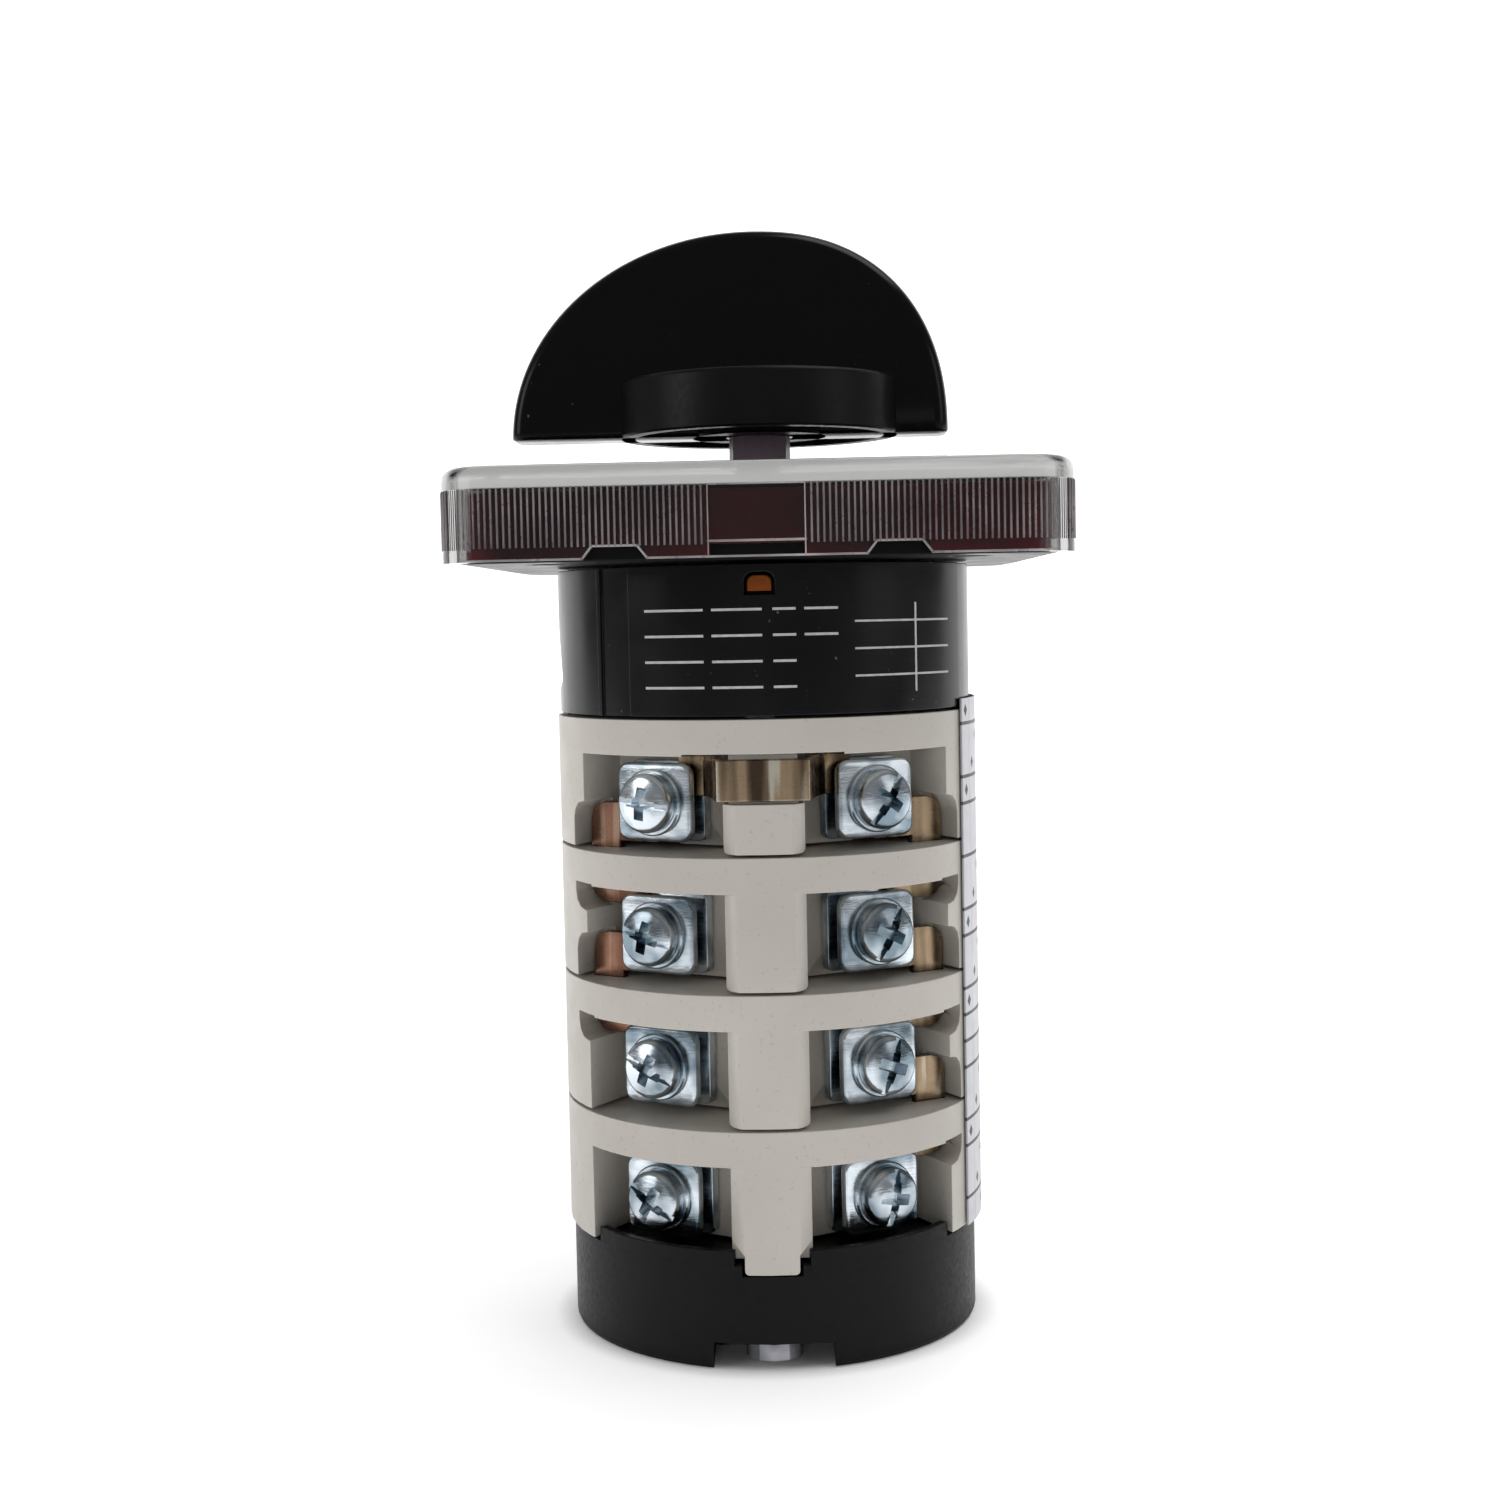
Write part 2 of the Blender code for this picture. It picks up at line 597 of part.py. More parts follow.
def make_contact_block(deck, material):
    foot = -TONGUE_DROP if deck == DECK_COUNT else 0
    block = cylinder("contact_block", DECK_RADIUS, (foot, BLOCK_HEIGHT), BODY_SIDES)
    if deck == DECK_COUNT:
        cut(block, around_tongues())
        cut(block, *(tongue_chamfer(side, face) for side in (1, -1) for face in (1, -1)))
    for side in (1, -1):
        for face in (1, -1):
            pocket = prism("pocket", pocket_outline(), (-CUT_MARGIN, POCKET_HEIGHT))
            cut(block, mirrored(pocket, side, face))
            lug_slot = box(
                "lug_slot",
                (LUG_INNER_FACE - SLIDE_GAP, LUG_OUTER_FACE + SLIDE_GAP),
                (lug_root() - SLIDE_GAP, -CHAMBER_HALF_WIDTH + CUT_MARGIN / 2),
                (-CUT_MARGIN, SCREW_HEIGHT + LUG_HEIGHT / 2 + SLIDE_GAP),
            )
            cut(block, mirrored(lug_slot, side, face))
        cut(block, guide_groove(side, BLOCK_HEIGHT))
    ceiling = BLOCK_HEIGHT - WEB_THICKNESS
    length = (-CHAMBER_HALF_LENGTH, CHAMBER_HALF_LENGTH)
    width = (-CHAMBER_HALF_WIDTH, CHAMBER_HALF_WIDTH)
    cut(block, box("chamber", length, width, (-CUT_MARGIN, ceiling)))
    cut(block, cylinder("cam_bore", CAM_BORE_RADIUS, (-CUT_MARGIN, ceiling), CAM_BORE_SIDES))
    through = (-CUT_MARGIN, DECK_PITCH + CUT_MARGIN)
    cut(block, cylinder("hub_hole", HUB_RADIUS + SLIDE_GAP, through, BORE_SIDES))
    for side, links in ((-1, LEFT_LINKS), (1, RIGHT_LINKS)):
        if deck in links:
            cut(block, link_notch(side, True))
        if deck - 1 in links:
            cut(block, link_notch(side, False), link_slot(side))
    if deck == BRIDGED_DECK:
        cut(block, *bridge_seat())
    cut(block, bolt_hole(1, through), bolt_hole(-1, through))
    name = f"contact_block_{deck}"
    return finish(name, baked(block), material, (0, 0, deck_bottom(deck)))


def lug_root():
    """Where a lug starts, inside the contact bar that carries it."""
    bar_at_lug = LUG_INNER_FACE * math.sin(SCREW_ANGLE) - (BAR_BACK + BAR_FRONT) / 2
    return bar_at_lug / math.cos(SCREW_ANGLE) + LUG_THICKNESS / 3


def make_terminal_mesh(side, face):
    """A contact bar with its lug and button, and the screw and clamp that it carries."""
    centre = SCREW_OFFSET
    half = CONTACT_BAR_WIDTH / 2
    low = SCREW_HEIGHT - CONTACT_BAR_TALL / 2
    bar = box("bar", (centre - half, centre + half), (-BAR_FRONT, -BAR_BACK), (low, low + CONTACT_BAR_TALL))
    to_pocket(bar)
    lug = box(
        "lug",
        (LUG_INNER_FACE, LUG_OUTER_FACE),
        (lug_root(), -LUG_TIP),
        (SCREW_HEIGHT - LUG_HEIGHT / 2, SCREW_HEIGHT + LUG_HEIGHT / 2),
    )
    reach = (LUG_OUTER_FACE - LUG_THICKNESS / 2, FIXED_BUTTON_FACE)
    button = along_x(cylinder("button", BUTTON_RADIUS, reach, SMALL_SIDES))
    turned(button, Matrix.Translation((0, -BUTTON_SPREAD, SCREW_HEIGHT)))
    clamp_outline = [
        (x + centre, z + SCREW_HEIGHT)
        for x, z in chamfered_rectangle(CLAMP_WIDTH, CLAMP_TALL, CLAMP_CORNER)
    ]
    clamp = to_pocket(standing(prism("clamp", clamp_outline, (CLAMP_BACK, CLAMP_FRONT))))
    overlap = CLAMP_THICKNESS / 3
    shank = screw_part("shank", SCREW_SHANK_RADIUS, (BAR_BACK + overlap, WASHER_FRONT), SMALL_SIDES)
    washer = screw_part("washer", WASHER_RADIUS, (CLAMP_FRONT - overlap, WASHER_FRONT), HEAD_SIDES)
    head = screw_part("head", SCREW_HEAD_RADIUS, (WASHER_FRONT - overlap, HEAD_FRONT), HEAD_SIDES)
    terminal = cut(join(bar, lug, button, shank, clamp, washer, head), screw_slot())
    mesh = baked(terminal)
    mesh.transform(Matrix.Diagonal((side, face, 1, 1)))
    if side * face < 0:
        mesh.flip_normals()
    return mesh


def chamfered_rectangle(width, height, chamfer):
    x = width / 2
    z = height / 2
    return [
        (-x + chamfer, -z),
        (x - chamfer, -z),
        (x, -z + chamfer),
        (x, z - chamfer),
        (x - chamfer, z),
        (-x + chamfer, z),
        (-x, z - chamfer),
        (-x, -z + chamfer),
    ]


def screw_part(name, radius, depth, sides):
    """A round part of a terminal screw, on the screw's own axis."""
    part = standing(cylinder(name, radius, depth, sides))
    turned(part, Matrix.Translation((SCREW_OFFSET, 0, SCREW_HEIGHT)))
    return to_pocket(part)


def screw_slot():
    """The driver slot in a terminal screw's head, turned as the screw stopped."""
    half = SCREW_SLOT_WIDTH / 2
    depth = (-HEAD_FRONT - CUT_MARGIN, SCREW_SLOT_DEPTH - HEAD_FRONT)
    slot = box("screw_slot", (-WASHER_RADIUS, WASHER_RADIUS), depth, (-half, half))
    turned(slot, Matrix.Rotation(SCREW_SLOT_ANGLE, 4, "Y"))
    turned(slot, Matrix.Translation((SCREW_OFFSET, 0, SCREW_HEIGHT)))
    return to_pocket(slot)


def make_carrier_mesh(side):
    """A sliding carrier with its contact bridge, both buttons and the spring spigot."""
    half = CARRIER_WIDTH / 2
    foot = -SEAT_GAP - GUIDE_DEPTH + SLIDE_GAP
    head = BLOCK_HEIGHT - WEB_THICKNESS - SLIDE_GAP
    waist = CAM_BORE_RADIUS + SLIDE_GAP
    body = box("carrier_body", (waist, CARRIER_END), (-half, half), (foot, head))
    nose_half = CARRIER_NOSE_WIDTH / 2
    level = (SCREW_HEIGHT - CAM_THICKNESS / 2, SCREW_HEIGHT + CAM_THICKNESS / 2)
    nose = box("carrier_nose", (CARRIER_FACE, waist + CUT_MARGIN), (-nose_half, nose_half), level)
    bridge = box(
        "bridge",
        (BRIDGE_INNER_FACE, BRIDGE_OUTER_FACE),
        (-BRIDGE_HALF_LENGTH, BRIDGE_HALF_LENGTH),
        (SCREW_HEIGHT - BRIDGE_HEIGHT / 2, SCREW_HEIGHT + BRIDGE_HEIGHT / 2),
    )
    join(body, nose, bridge)
    for face in (1, -1):
        reach = (MOVING_BUTTON_FACE, BRIDGE_INNER_FACE + BRIDGE_THICKNESS / 2)
        button = along_x(cylinder("button", BUTTON_RADIUS, reach, SMALL_SIDES))
        join(body, turned(button, Matrix.Translation((0, -face * BUTTON_SPREAD, SCREW_HEIGHT))))
    reach = (CARRIER_END - CUT_MARGIN / 2, CARRIER_END + SPIGOT_LENGTH)
    spigot = along_x(cylinder("spigot", SPIGOT_RADIUS, reach, SMALL_SIDES))
    join(body, turned(spigot, Matrix.Translation((0, 0, SCREW_HEIGHT))))
    mesh = baked(body)
    mesh.transform(Matrix.Diagonal((side, 1, 1, 1)))
    if side < 0:
        mesh.flip_normals()
    return mesh


def make_spring(name, side, deck, material):
    """A coil between a carrier's end and the end wall of its chamber."""
    start = CARRIER_END + SPRING_WIRE_RADIUS + SEAT_GAP / 2
    end = CHAMBER_HALF_LENGTH - SPRING_WIRE_RADIUS - SEAT_GAP / 2
    count = SPRING_TURNS * SPRING_POINTS_PER_TURN
    curve = bpy.data.curves.new(name, "CURVE")
    curve.dimensions = "3D"
    curve.bevel_depth = SPRING_WIRE_RADIUS
    curve.bevel_resolution = 1
    curve.use_fill_caps = True
    spline = curve.splines.new("POLY")
    spline.points.add(count)
    for step, point in enumerate(spline.points):
        angle = 2 * math.pi * step / SPRING_POINTS_PER_TURN
        x = start + (end - start) * step / count
        y = SPRING_RADIUS * math.cos(angle)
        z = SPRING_RADIUS * math.sin(angle)
        point.co = (side * x, y, z, 1)
    curve.materials.append(material)
    obj = bpy.data.objects.new(name, curve)
    obj.location = (0, 0, deck_bottom(deck) + SCREW_HEIGHT)
    bpy.data.collections["cam_switch"].objects.link(obj)
    return obj


def cam_radius(angle):
    """Falls evenly from -Y to +Y, so both carriers move in step with the shaft."""
    lean = math.asin(math.sin(angle))
    lean = max(-CAM_SPIRAL_END, min(CAM_SPIRAL_END, lean))
    return CAM_MEAN_RADIUS - SPIRAL_RATE * lean


def star_radius(angle):
    return STAR_RADIUS - STAR_WAVE * math.cos(STAR_LOBES * angle)


def polar_outline(radius_at, count):
    angles = [2 * math.pi * step / count for step in range(count)]
    return [(radius_at(a) * math.cos(a), radius_at(a) * math.sin(a)) for a in angles]


def square(side, z_range):
    return box("square", (-side / 2, side / 2), (-side / 2, side / 2), z_range)


def make_cam_mesh():
    level = (SCREW_HEIGHT - CAM_THICKNESS / 2, SCREW_HEIGHT + CAM_THICKNESS / 2)
    cam = prism("cam", polar_outline(cam_radius, CAM_OUTLINE_POINTS), level)
    span = (SEAT_GAP / 2, DECK_PITCH - SEAT_GAP / 2)
    join(cam, cylinder("hub", HUB_RADIUS, span, BORE_SIDES))
    cut(cam, square(SHAFT_SQUARE + SLIDE_GAP, (-CUT_MARGIN, DECK_PITCH + CUT_MARGIN)))
    return baked(cam)


def make_star_wheel(material):
    """The index wheel, with the lug that meets the stops above it."""
    level = (STAR_BOTTOM, STAR_BOTTOM + STAR_THICKNESS)
    star = prism("star", polar_outline(star_radius, STAR_OUTLINE_POINTS), level)
    top = STOP_BOTTOM + STOP_LUG_THICKNESS
    join(star, cylinder("star_hub", HUB_RADIUS, (HOUSING_BOTTOM + SEAT_GAP, top), BORE_SIDES))
    half = STOP_LUG_HALF_ANGLE
    down = -math.pi / 2
    lug = arc(STOP_LUG_REACH, down - half, down + half, LUG_STEPS)
    lug += [(HUB_RADIUS * math.sin(half), 0), (-HUB_RADIUS * math.sin(half), 0)]
    join(star, prism("stop_lug", lug, (level[1] - CUT_MARGIN, top)))
    cut(star, square(SHAFT_SQUARE + SLIDE_GAP, (HOUSING_BOTTOM - CUT_MARGIN, top + CUT_MARGIN)))
    return finish("star_wheel", baked(star), material)


def ribbon(path, thickness):
    """The outline of a strip of even thickness along a path of plan points."""
    left = []
    right = []
    last = len(path) - 1
    for index, (x, y) in enumerate(path):
        before = path[max(index - 1, 0)]
        after = path[min(index + 1, last)]
        ahead = math.atan2(after[1] - y, after[0] - x) if index < last else None
        behind = math.atan2(y - before[1], x - before[0]) if index > 0 else None
        ahead = behind if ahead is None else ahead
        behind = ahead if behind is None else behind
        bend = math.atan2(math.sin(ahead - behind), math.cos(ahead - behind)) / 2
        normal = behind + bend + math.pi / 2
        reach = thickness / 2 / math.cos(bend)
        left.append((x + reach * math.cos(normal), y + reach * math.sin(normal)))
        right.append((x - reach * math.cos(normal), y - reach * math.sin(normal)))
    return left + right[::-1]


def detent_path():
    """Right-hand detent leaf: straight arms and a nose in a valley of the star wheel."""
    valley = STAR_RADIUS - STAR_WAVE
    nose = valley + SLIDE_GAP + DETENT_THICKNESS / 2
    shoulder = STAR_RADIUS + STAR_WAVE + DETENT_THICKNESS
    end = shoulder + DETENT_SPREAD
    half = DETENT_HALF_LENGTH
    return [(end, -half), (shoulder, -half / 3), (nose, 0), (shoulder, half / 3), (end, half)]


def make_detent_spring(name, side, material):
    middle = STAR_BOTTOM + STAR_THICKNESS / 2
    level = (middle - DETENT_HEIGHT / 2, middle + DETENT_HEIGHT / 2)
    leaf = mirrored(prism(name, ribbon(detent_path(), DETENT_THICKNESS), level), side, 1)
    return finish(name, baked(leaf), material)


def make_shaft(material):
    """Square where it drives the cams, round through the cover, square in the handle."""
    stem = (STOP_BOTTOM + STOP_LUG_THICKNESS + SEAT_GAP, HANDLE_BOTTOM + RECESS_DEPTH)
    bar = square(SHAFT_SQUARE, (SHAFT_BOTTOM, stem[0] + CUT_MARGIN))
    end = square(HANDLE_SQUARE, (stem[1] - CUT_MARGIN, HANDLE_BOTTOM + SHAFT_IN_HANDLE))
    join(bar, cylinder("stem", STEM_RADIUS, stem, BORE_SIDES), end)
    return finish("shaft", baked(bar), material)


def housing_outline():
    """Plan of the housing: a raised front panel, a step down at its sides and a ridge."""
    high = DECK_RADIUS
    low = DECK_RADIUS - HOUSING_STEP
    front = -math.pi / 2
    ridge_start = front + RIDGE_ANGLE - RIDGE_WIDTH_ANGLE / 2
    ridge_end = front + RIDGE_ANGLE + RIDGE_WIDTH_ANGLE / 2
    panel_start = front + PANEL_LEFT_ANGLE
    panel_end = front + PANEL_RIGHT_ANGLE
    points = arc(high, ridge_start, ridge_end, 2)
    points += arc(low, ridge_end, panel_start, 4)
    points += arc(high, panel_start, panel_end, PANEL_STEPS)
    points += arc(low, panel_end, ridge_start + 2 * math.pi, HOUSING_BACK_STEPS)
    return points


def tab_outline(width, height, sill):
    """A window with a flat sill and rounded upper corners, in X and Z."""
    half = width / 2
    corner = TAB_CORNER_SHARE * width
    level = sill + height - corner
    right = arc(corner, 0, math.pi / 2, WINDOW_STEPS, (half - corner, level))
    left = arc(corner, math.pi / 2, math.pi, WINDOW_STEPS, (corner - half, level))
    return [(-half, sill), (half, sill)] + right + left


def stop_rib(side):
    """A rib under the housing's ceiling that the star wheel's lug runs against."""
    inner = STOP_LUG_REACH - STOP_RIB_OVERLAP
    half = STOP_RIB_WIDTH / 2
    level = (STOP_BOTTOM + SEAT_GAP, HOUSING_CEILING_LEVEL + CUT_MARGIN)
    rib = box("stop", (inner, DECK_RADIUS - HOUSING_WALL / 2), (-half, half), level)
    swing = TURN_LIMIT + STOP_LUG_HALF_ANGLE + math.asin((half + STOP_PLAY) / inner)
    return turned(rib, Matrix.Rotation(side * swing - math.pi / 2, 4, "Z"))


def detent_post(side, face):
    """A post on the housing's wall that holds one end of a detent leaf."""
    near = detent_path()[-1][0] + DETENT_THICKNESS / 2 + SEAT_GAP
    low = -DETENT_HALF_LENGTH - DETENT_POST_WIDTH / 2
    far = math.sqrt((DECK_RADIUS - HOUSING_WALL / 3) ** 2 - low**2)
    level = (STAR_BOTTOM, HOUSING_CEILING_LEVEL + CUT_MARGIN)
    return mirrored(box("post", (near, far), (low, low + DETENT_POST_WIDTH), level), side, face)


def make_housing(material):
    housing = prism("housing", housing_outline(), (HOUSING_BOTTOM, HOUSING_TOP))
    inner = DECK_RADIUS - HOUSING_WALL
    cavity = (HOUSING_BOTTOM - CUT_MARGIN, HOUSING_CEILING_LEVEL)
    cut(housing, cylinder("cavity", inner, cavity, CAVITY_SIDES))
    boss_level = (HOUSING_BOTTOM, HOUSING_CEILING_LEVEL + HOUSING_CEILING / 2)
    for face in (1, -1):
        centre = (0, -face * BOLT_SPACING)
        join(housing, cylinder("boss", HOUSING_BOSS_RADIUS, boss_level, BORE_SIDES, centre))
    for side in (1, -1):
        join(housing, detent_post(side, 1), detent_post(side, -1), stop_rib(side))
    for face in (1, -1):
        level = (HOUSING_BOTTOM - CUT_MARGIN, HOUSING_BOTTOM + BOLT_GRIP_IN_HOUSING + SEAT_GAP)
        cut(housing, bolt_hole(face, level))
    hole = (HOUSING_BOTTOM, HOUSING_TOP + CUT_MARGIN)
    cut(housing, cylinder("stem_hole", STEM_RADIUS + SLIDE_GAP, hole, BORE_SIDES))
    window = tab_outline(TAB_WINDOW_WIDTH, TAB_WINDOW_HEIGHT, HOUSING_BOTTOM + TAB_WINDOW_SILL)
    depth = (DECK_RADIUS - TAB_POCKET_DEPTH, DECK_RADIUS + CUT_MARGIN)
    cut(housing, standing(prism("window", window, depth)))
    surface = DECK_RADIUS - HOUSING_STEP
    recess = [
        (-surface - CUT_MARGIN, HOUSING_BOTTOM + GRIP_RECESS_TOP),
        (-surface, HOUSING_BOTTOM + GRIP_RECESS_TOP),
        (-surface + GRIP_RECESS_DEPTH, HOUSING_BOTTOM + GRIP_RECESS_DEEPEST),
        (-surface, HOUSING_BOTTOM + GRIP_RECESS_FOOT),
        (-surface - CUT_MARGIN, HOUSING_BOTTOM + GRIP_RECESS_FOOT),
    ]
    half = GRIP_RECESS_WIDTH / 2
    cut(housing, standing(prism("grip_recess", recess, (-half, half))))
    return finish("mechanism_housing", baked(housing), material)


def make_release_tab(material):
    width = TAB_WINDOW_WIDTH - 2 * SLIDE_GAP
    height = TAB_WINDOW_HEIGHT - 2 * SLIDE_GAP
    sill = HOUSING_BOTTOM + TAB_WINDOW_SILL + SLIDE_GAP
    front = DECK_RADIUS - TAB_RECESS
    tab = standing(prism("tab", tab_outline(width, height, sill), (front - TAB_LENGTH, front)))
    return finish("release_tab", baked(tab), material)


def make_front_plate(material):
    """The black square tray that carries the dial and clips on the housing."""
    plate = prism("plate", rounded_square(PLATE_SIDE, PLATE_CORNER), (PLATE_BOTTOM, PLATE_TOP))
    hollow = rounded_square(PLATE_SIDE - 2 * PLATE_WALL, PLATE_CORNER - PLATE_WALL / 2)
    cut(plate, prism("hollow", hollow, (PLATE_BOTTOM + PLATE_FLOOR, PLATE_TOP + CUT_MARGIN)))
    join(plate, cylinder("plate_hub", PLATE_HUB_RADIUS, (PLATE_BOTTOM + CUT_MARGIN, PLATE_TOP), HEAD_SIDES))
    through = (PLATE_BOTTOM - CUT_MARGIN, PLATE_TOP + CUT_MARGIN)
    cut(plate, cylinder("stem_hole", STEM_RADIUS + SLIDE_GAP, through, BORE_SIDES))
    half = PLATE_SCREW_SPACING / 2
    for x in (-half, half):
        for y in (-half, half):
            cut(plate, cylinder("screw_hole", PLATE_SCREW_RADIUS, through, SMALL_SIDES, (x, y)))
    return finish("front_plate", baked(plate), material)


def make_dial(material):
    side = PLATE_SIDE - 2 * SEAT_GAP
    level = (DIAL_BOTTOM, DIAL_BOTTOM + DIAL_THICKNESS)
    dial = prism("dial", rounded_square(side, PLATE_CORNER), level)
    through = (DIAL_BOTTOM - CUT_MARGIN, DIAL_BOTTOM + CUT_MARGIN)
    cut(dial, cylinder("dial_hole", DIAL_HOLE_RADIUS, through, BORE_SIDES))
    return finish("dial_plate", baked(dial), material)


def make_cover(material):
    """The clear cover: a rounded box with pry notches and a plain panel front and back."""
    bottom = PLATE_BOTTOM + SEAT_GAP / 3
    cover = prism("cover", rounded_square(COVER_SIDE, COVER_CORNER), (bottom, COVER_TOP))
    bevel_level(cover, COVER_TOP, COVER_EDGE_BEVEL)
    inside = PLATE_SIDE + 2 * COVER_PLATE_GAP
    hollow = rounded_square(inside, PLATE_CORNER + COVER_PLATE_GAP)
    cut(cover, prism("cover_hollow", hollow, (bottom - CUT_MARGIN, COVER_UNDERSIDE)))
    through = (COVER_UNDERSIDE - CUT_MARGIN, COVER_TOP + CUT_MARGIN)
    cut(cover, cylinder("stem_hole", STEM_RADIUS + SLIDE_GAP, through, BORE_SIDES))
    face_y = COVER_SIDE / 2
    wall_inside = inside / 2 - CUT_MARGIN
    for face in (1, -1):
        panel = box(
            "panel",
            (-COVER_PANEL_WIDTH / 2, COVER_PANEL_WIDTH / 2),
            (-face_y - CUT_MARGIN, -face_y + COVER_PANEL_DEPTH),
            (bottom - CUT_MARGIN, bottom + COVER_PANEL_HEIGHT),
        )
        slot = box(
            "panel_slot",
            (-COVER_PANEL_WIDTH / 2, COVER_PANEL_WIDTH / 2),
            (-face_y - CUT_MARGIN, -wall_inside),
            (bottom - CUT_MARGIN, bottom + COVER_NOTCH_HEIGHT),
        )
        cut(cover, mirrored(panel, 1, face), mirrored(slot, 1, face))
        for side in (1, -1):
            middle = side * COVER_NOTCH_OFFSET
            wide = COVER_NOTCH_WIDTH / 2
            narrow = COVER_NOTCH_TOP_WIDTH / 2
            outline = [
                (middle - wide, bottom - CUT_MARGIN),
                (middle + wide, bottom - CUT_MARGIN),
                (middle + wide, bottom),
                (middle + narrow, bottom + COVER_NOTCH_HEIGHT),
                (middle - narrow, bottom + COVER_NOTCH_HEIGHT),
                (middle - wide, bottom),
            ]
            notch = standing(prism("notch", outline, (wall_inside, face_y + CUT_MARGIN)))
            cut(cover, mirrored(notch, 1, face))
    return finish("front_cover", baked(cover), material)


def bevel_level(obj, level, width):
    """Rounds the edges of an object that lie at one level."""
    bm = bmesh.new()
    bm.from_mesh(obj.data)
    bmesh.ops.dissolve_limit(bm, angle_limit=math.radians(1), verts=bm.verts, edges=bm.edges)
    edges = [
        edge
        for edge in bm.edges
        if all(abs(vert.co.z - level) < WELD for vert in edge.verts)
    ]
    bmesh.ops.bevel(
        bm, geom=edges, offset=width, segments=2, affect="EDGES", profile=0.5, material=-1
    )
    bm.to_mesh(obj.data)
    bm.free()
    return obj


def quarter_curve(reach, power):
    """A quarter of a stretched round outline, from its foot at the side to its peak."""
    points = []
    for step in range(BLADE_CURVE_POINTS):
        angle = math.pi / 2 * step / BLADE_CURVE_POINTS
        x = reach * math.cos(angle) ** (2 / power)
        z = BLADE_HEIGHT * math.sin(angle) ** (2 / power)
        points.append((BLADE_PEAK_OFFSET + x, HANDLE_BOTTOM + z))
    return points


def blade_outline():
    """Side view of the handle's blade: a long pointer end left, a steeper heel right."""
    heel = quarter_curve(BLADE_RIGHT_REACH - BLADE_PEAK_OFFSET, BLADE_HEEL_POWER)
    pointer = quarter_curve(-BLADE_LEFT_REACH - BLADE_PEAK_OFFSET, BLADE_POINTER_POWER)
    peak = (BLADE_PEAK_OFFSET, HANDLE_BOTTOM + BLADE_HEIGHT)
    return heel + [peak] + pointer[::-1]


def make_handle(material):
    half = BLADE_THICKNESS / 2
    blade = standing(prism("blade", blade_outline(), (-half, half)))
    bevel_blade(blade, half)
    level = (HANDLE_BOTTOM, HANDLE_BOTTOM + COLLAR_HEIGHT)
    collar = cylinder("collar", COLLAR_RADIUS, level, COLLAR_SIDES)
    bevel_level(collar, HANDLE_BOTTOM + COLLAR_HEIGHT, COLLAR_EDGE)
    handle = join(blade, collar)
    recess = (HANDLE_BOTTOM - CUT_MARGIN, HANDLE_BOTTOM + RECESS_DEPTH)
    ring = cylinder("recess", RECESS_OUTER_RADIUS, recess, CAVITY_SIDES)
    around = (recess[0] - CUT_MARGIN, recess[1] + CUT_MARGIN)
    core = cylinder("core", HANDLE_HUB_RADIUS, around, CAM_BORE_SIDES)
    cut(ring, core)
    cut(handle, ring)
    stem = (HANDLE_BOTTOM - CUT_MARGIN, HANDLE_BOTTOM + RECESS_DEPTH + SEAT_GAP)
    cut(handle, cylinder("stem_socket", STEM_RADIUS + SLIDE_GAP, stem, BORE_SIDES))
    socket = (HANDLE_BOTTOM - CUT_MARGIN, HANDLE_BOTTOM + SHAFT_IN_HANDLE + SEAT_GAP)
    cut(handle, square(HANDLE_SQUARE + SLIDE_GAP, socket))
    return finish("handle", baked(handle), material)


def bevel_blade(obj, half):
    """Rounds the rims of the blade, but not its flat underside."""
    bm = bmesh.new()
    bm.from_mesh(obj.data)
    bmesh.ops.dissolve_limit(bm, angle_limit=math.radians(1), verts=bm.verts, edges=bm.edges)
    edges = []
    for edge in bm.edges:
        on_one_side = all(abs(abs(vert.co.y) - half) < WELD for vert in edge.verts)
        same_side = edge.verts[0].co.y * edge.verts[1].co.y > 0
        above_base = any(vert.co.z > HANDLE_BOTTOM + WELD for vert in edge.verts)
        if on_one_side and same_side and above_base:
            edges.append(edge)
    bmesh.ops.bevel(
        bm, geom=edges, offset=BLADE_EDGE, segments=2, affect="EDGES", profile=0.5, material=-1
    )
    bm.to_mesh(obj.data)
    bm.free()
    return obj


